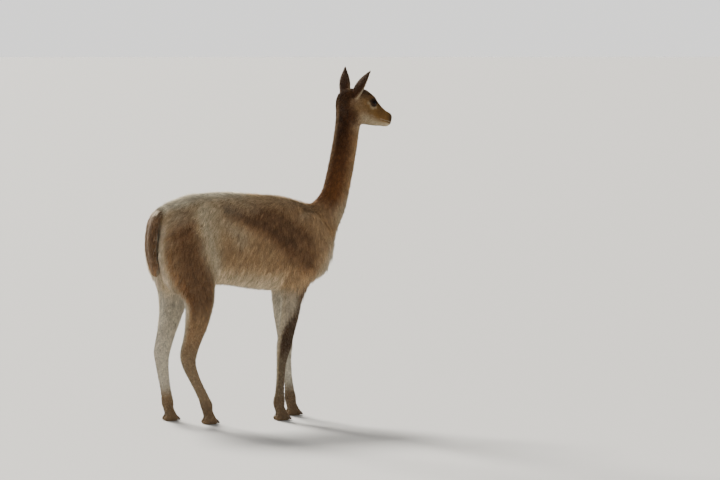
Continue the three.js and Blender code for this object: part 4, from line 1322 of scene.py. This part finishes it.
def ball(turns, rises):
    """A closed ball of radius 1, as points and triangles."""
    angle = np.linspace(0, 2 * math.pi, turns, endpoint=False)
    lift = np.linspace(-math.pi / 2, math.pi / 2, rises + 1)[1:-1]
    rings = [np.outer(np.cos(lift), f(angle)).ravel() for f in (np.cos, np.sin)]
    points = np.stack([*rings, np.repeat(np.sin(lift), turns)], 1)
    points = np.vstack([points, [[0, 0, -1], [0, 0, 1]]])
    j = np.arange(turns)
    k = (j + 1) % turns
    row = np.arange(rises - 2)[:, None] * turns
    quads = np.stack([row + j, row + k, row + turns + k, row + turns + j], 2).reshape(-1, 4)
    top, last = (rises - 2) * turns, len(points) - 1
    caps = np.stack([k, j, 0 * j + last - 1, top + j, top + k, 0 * j + last], 1).reshape(-1, 3)
    return points, np.concatenate([quads[:, [0, 1, 2]], quads[:, [0, 2, 3]], caps])


wet_eye = eye_material()
ball_points, ball_faces = ball(EYE_TURNS, EYE_RISES)
for word, side in (("right", -1), ("left", 1)):
    q = ball_points * EYE_RADIUS + np.array(mirrored(EYE_AT, side))
    piece = add_mesh(f"eyeball_{word}", from_head(q), ball_faces)
    e = eye_space(q, side)
    pupil = np.hypot(e[:, 0] / PUPIL[0], e[:, 1] / PUPIL[1]) * 0.5 + (e[:, 2] < 0)
    layer = piece.data.attributes.new("pupil", "FLOAT", "POINT")
    layer.data.foreach_set("value", pupil.astype(np.float32))
    dress(piece, wet_eye)
    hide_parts(f"eye_{word}")


# Nails
NAIL_LOW, NAIL_MARGIN = 1, 6


def nail_field(nail):
    return lambda p: np.maximum(nail.value(p), NAIL_LOW - p[:, 2])


horn = horn_material()
for name in LEGS:
    _, nails = feet[name]
    for nail, which in zip(nails, ("inner", "outer")):
        field = nail_field(nail)
        grid = Grid(field, nail.low - NAIL_MARGIN, nail.high + NAIL_MARGIN, NAIL_CELL)
        piece = add_mesh(f"nail_shape_{name}_{which}", *net(grid, field))
        dress(piece, horn)
        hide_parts(f"nail_{name}_{which}")

# Floor, in metres from here on
FLOOR_HALF = 1500
VIEW_END = 4000
floor_mesh = bpy.data.meshes.new("floor")
corners = [(x * FLOOR_HALF, y * FLOOR_HALF, 0) for x, y in ((-1, -1), (1, -1), (1, 1), (-1, 1))]
floor_mesh.from_pydata(corners, [], [(0, 1, 2, 3)])
floor_mesh.materials.append(floor_material())
add_object("floor", floor_mesh)


# Camera
def aim(holder, axis, towards):
    holder.rotation_mode = "QUATERNION"
    holder.rotation_quaternion = towards.to_track_quat(axis, "Y")


AZIMUTH, ELEVATION = math.radians(-22), math.radians(3.5)
FOCAL, SENSOR, DISTANCE = 151.8, 36, 12
MIDDLE_HEIGHT, ASIDE = 0.714, 0.474  # of the picture's middle, from the animal's
level = math.cos(ELEVATION)
back = Vector((math.sin(AZIMUTH) * level, -math.cos(AZIMUTH) * level, math.sin(ELEVATION)))
right = Vector((math.cos(AZIMUTH), math.sin(AZIMUTH), 0))
up = back.cross(right)
look = Vector((0, 0, MIDDLE_HEIGHT)) + right * ASIDE + Vector(shift / MM)
lens = bpy.data.cameras.new("camera")
lens.lens = FOCAL
lens.sensor_width = SENSOR
lens.clip_end = VIEW_END
camera = add_object("camera", lens)
camera.location = look + back * DISTANCE
aim(camera, "-Z", -back)
bpy.context.scene.camera = camera


# Light
def add_lamp(name, kind, energy, colour, axis, towards):
    lamp = bpy.data.lights.new(name, kind)
    lamp.energy = energy
    lamp.color = colour
    holder = add_object(name, lamp)
    aim(holder, axis, towards)
    return holder


ANIMAL = Vector((0, 0, 0.8))
SUNLIGHT, FILL_LIGHT = (1.0, 0.96, 0.88), (1.0, 0.98, 0.96)
above = add_lamp("above", "SUN", 9, SUNLIGHT, "Z", up * 0.72 - right * 0.34 - back * 0.6)
above.data.angle = math.radians(16)
rim = add_lamp("rim", "SUN", 5, SUNLIGHT, "Z", up * 0.3 - right * 0.55 - back * 0.78)
rim.data.angle = math.radians(10)
fill_place = back * 4.5 + right * 0.6 + up * 2.0
fill = add_lamp("fill", "AREA", 48, FILL_LIGHT, "-Z", -fill_place)
fill.data.size = 4.0
fill.location = ANIMAL + fill_place

SKY_TONE = (0.48, 0.475, 0.465)
HORIZON_TONE = (1.36, 1.35, 1.33)  # as bright as the far floor, so that no edge shows there
HORIZON = (0.03, 0.06)
world = bpy.data.worlds.new("studio")
world.use_nodes = True
tree = world.node_tree
heading = add_node(tree, "SeparateXYZ")
join(add_node(tree, "TexCoord"), "Generated", heading, "Vector")
band = add_ramp(tree, (HORIZON[0], HORIZON_TONE), (HORIZON[1], SKY_TONE))
join(heading, "Z", band, "Fac")
join(band, "Color", tree.nodes["Background"], "Color")
bpy.context.scene.world = world
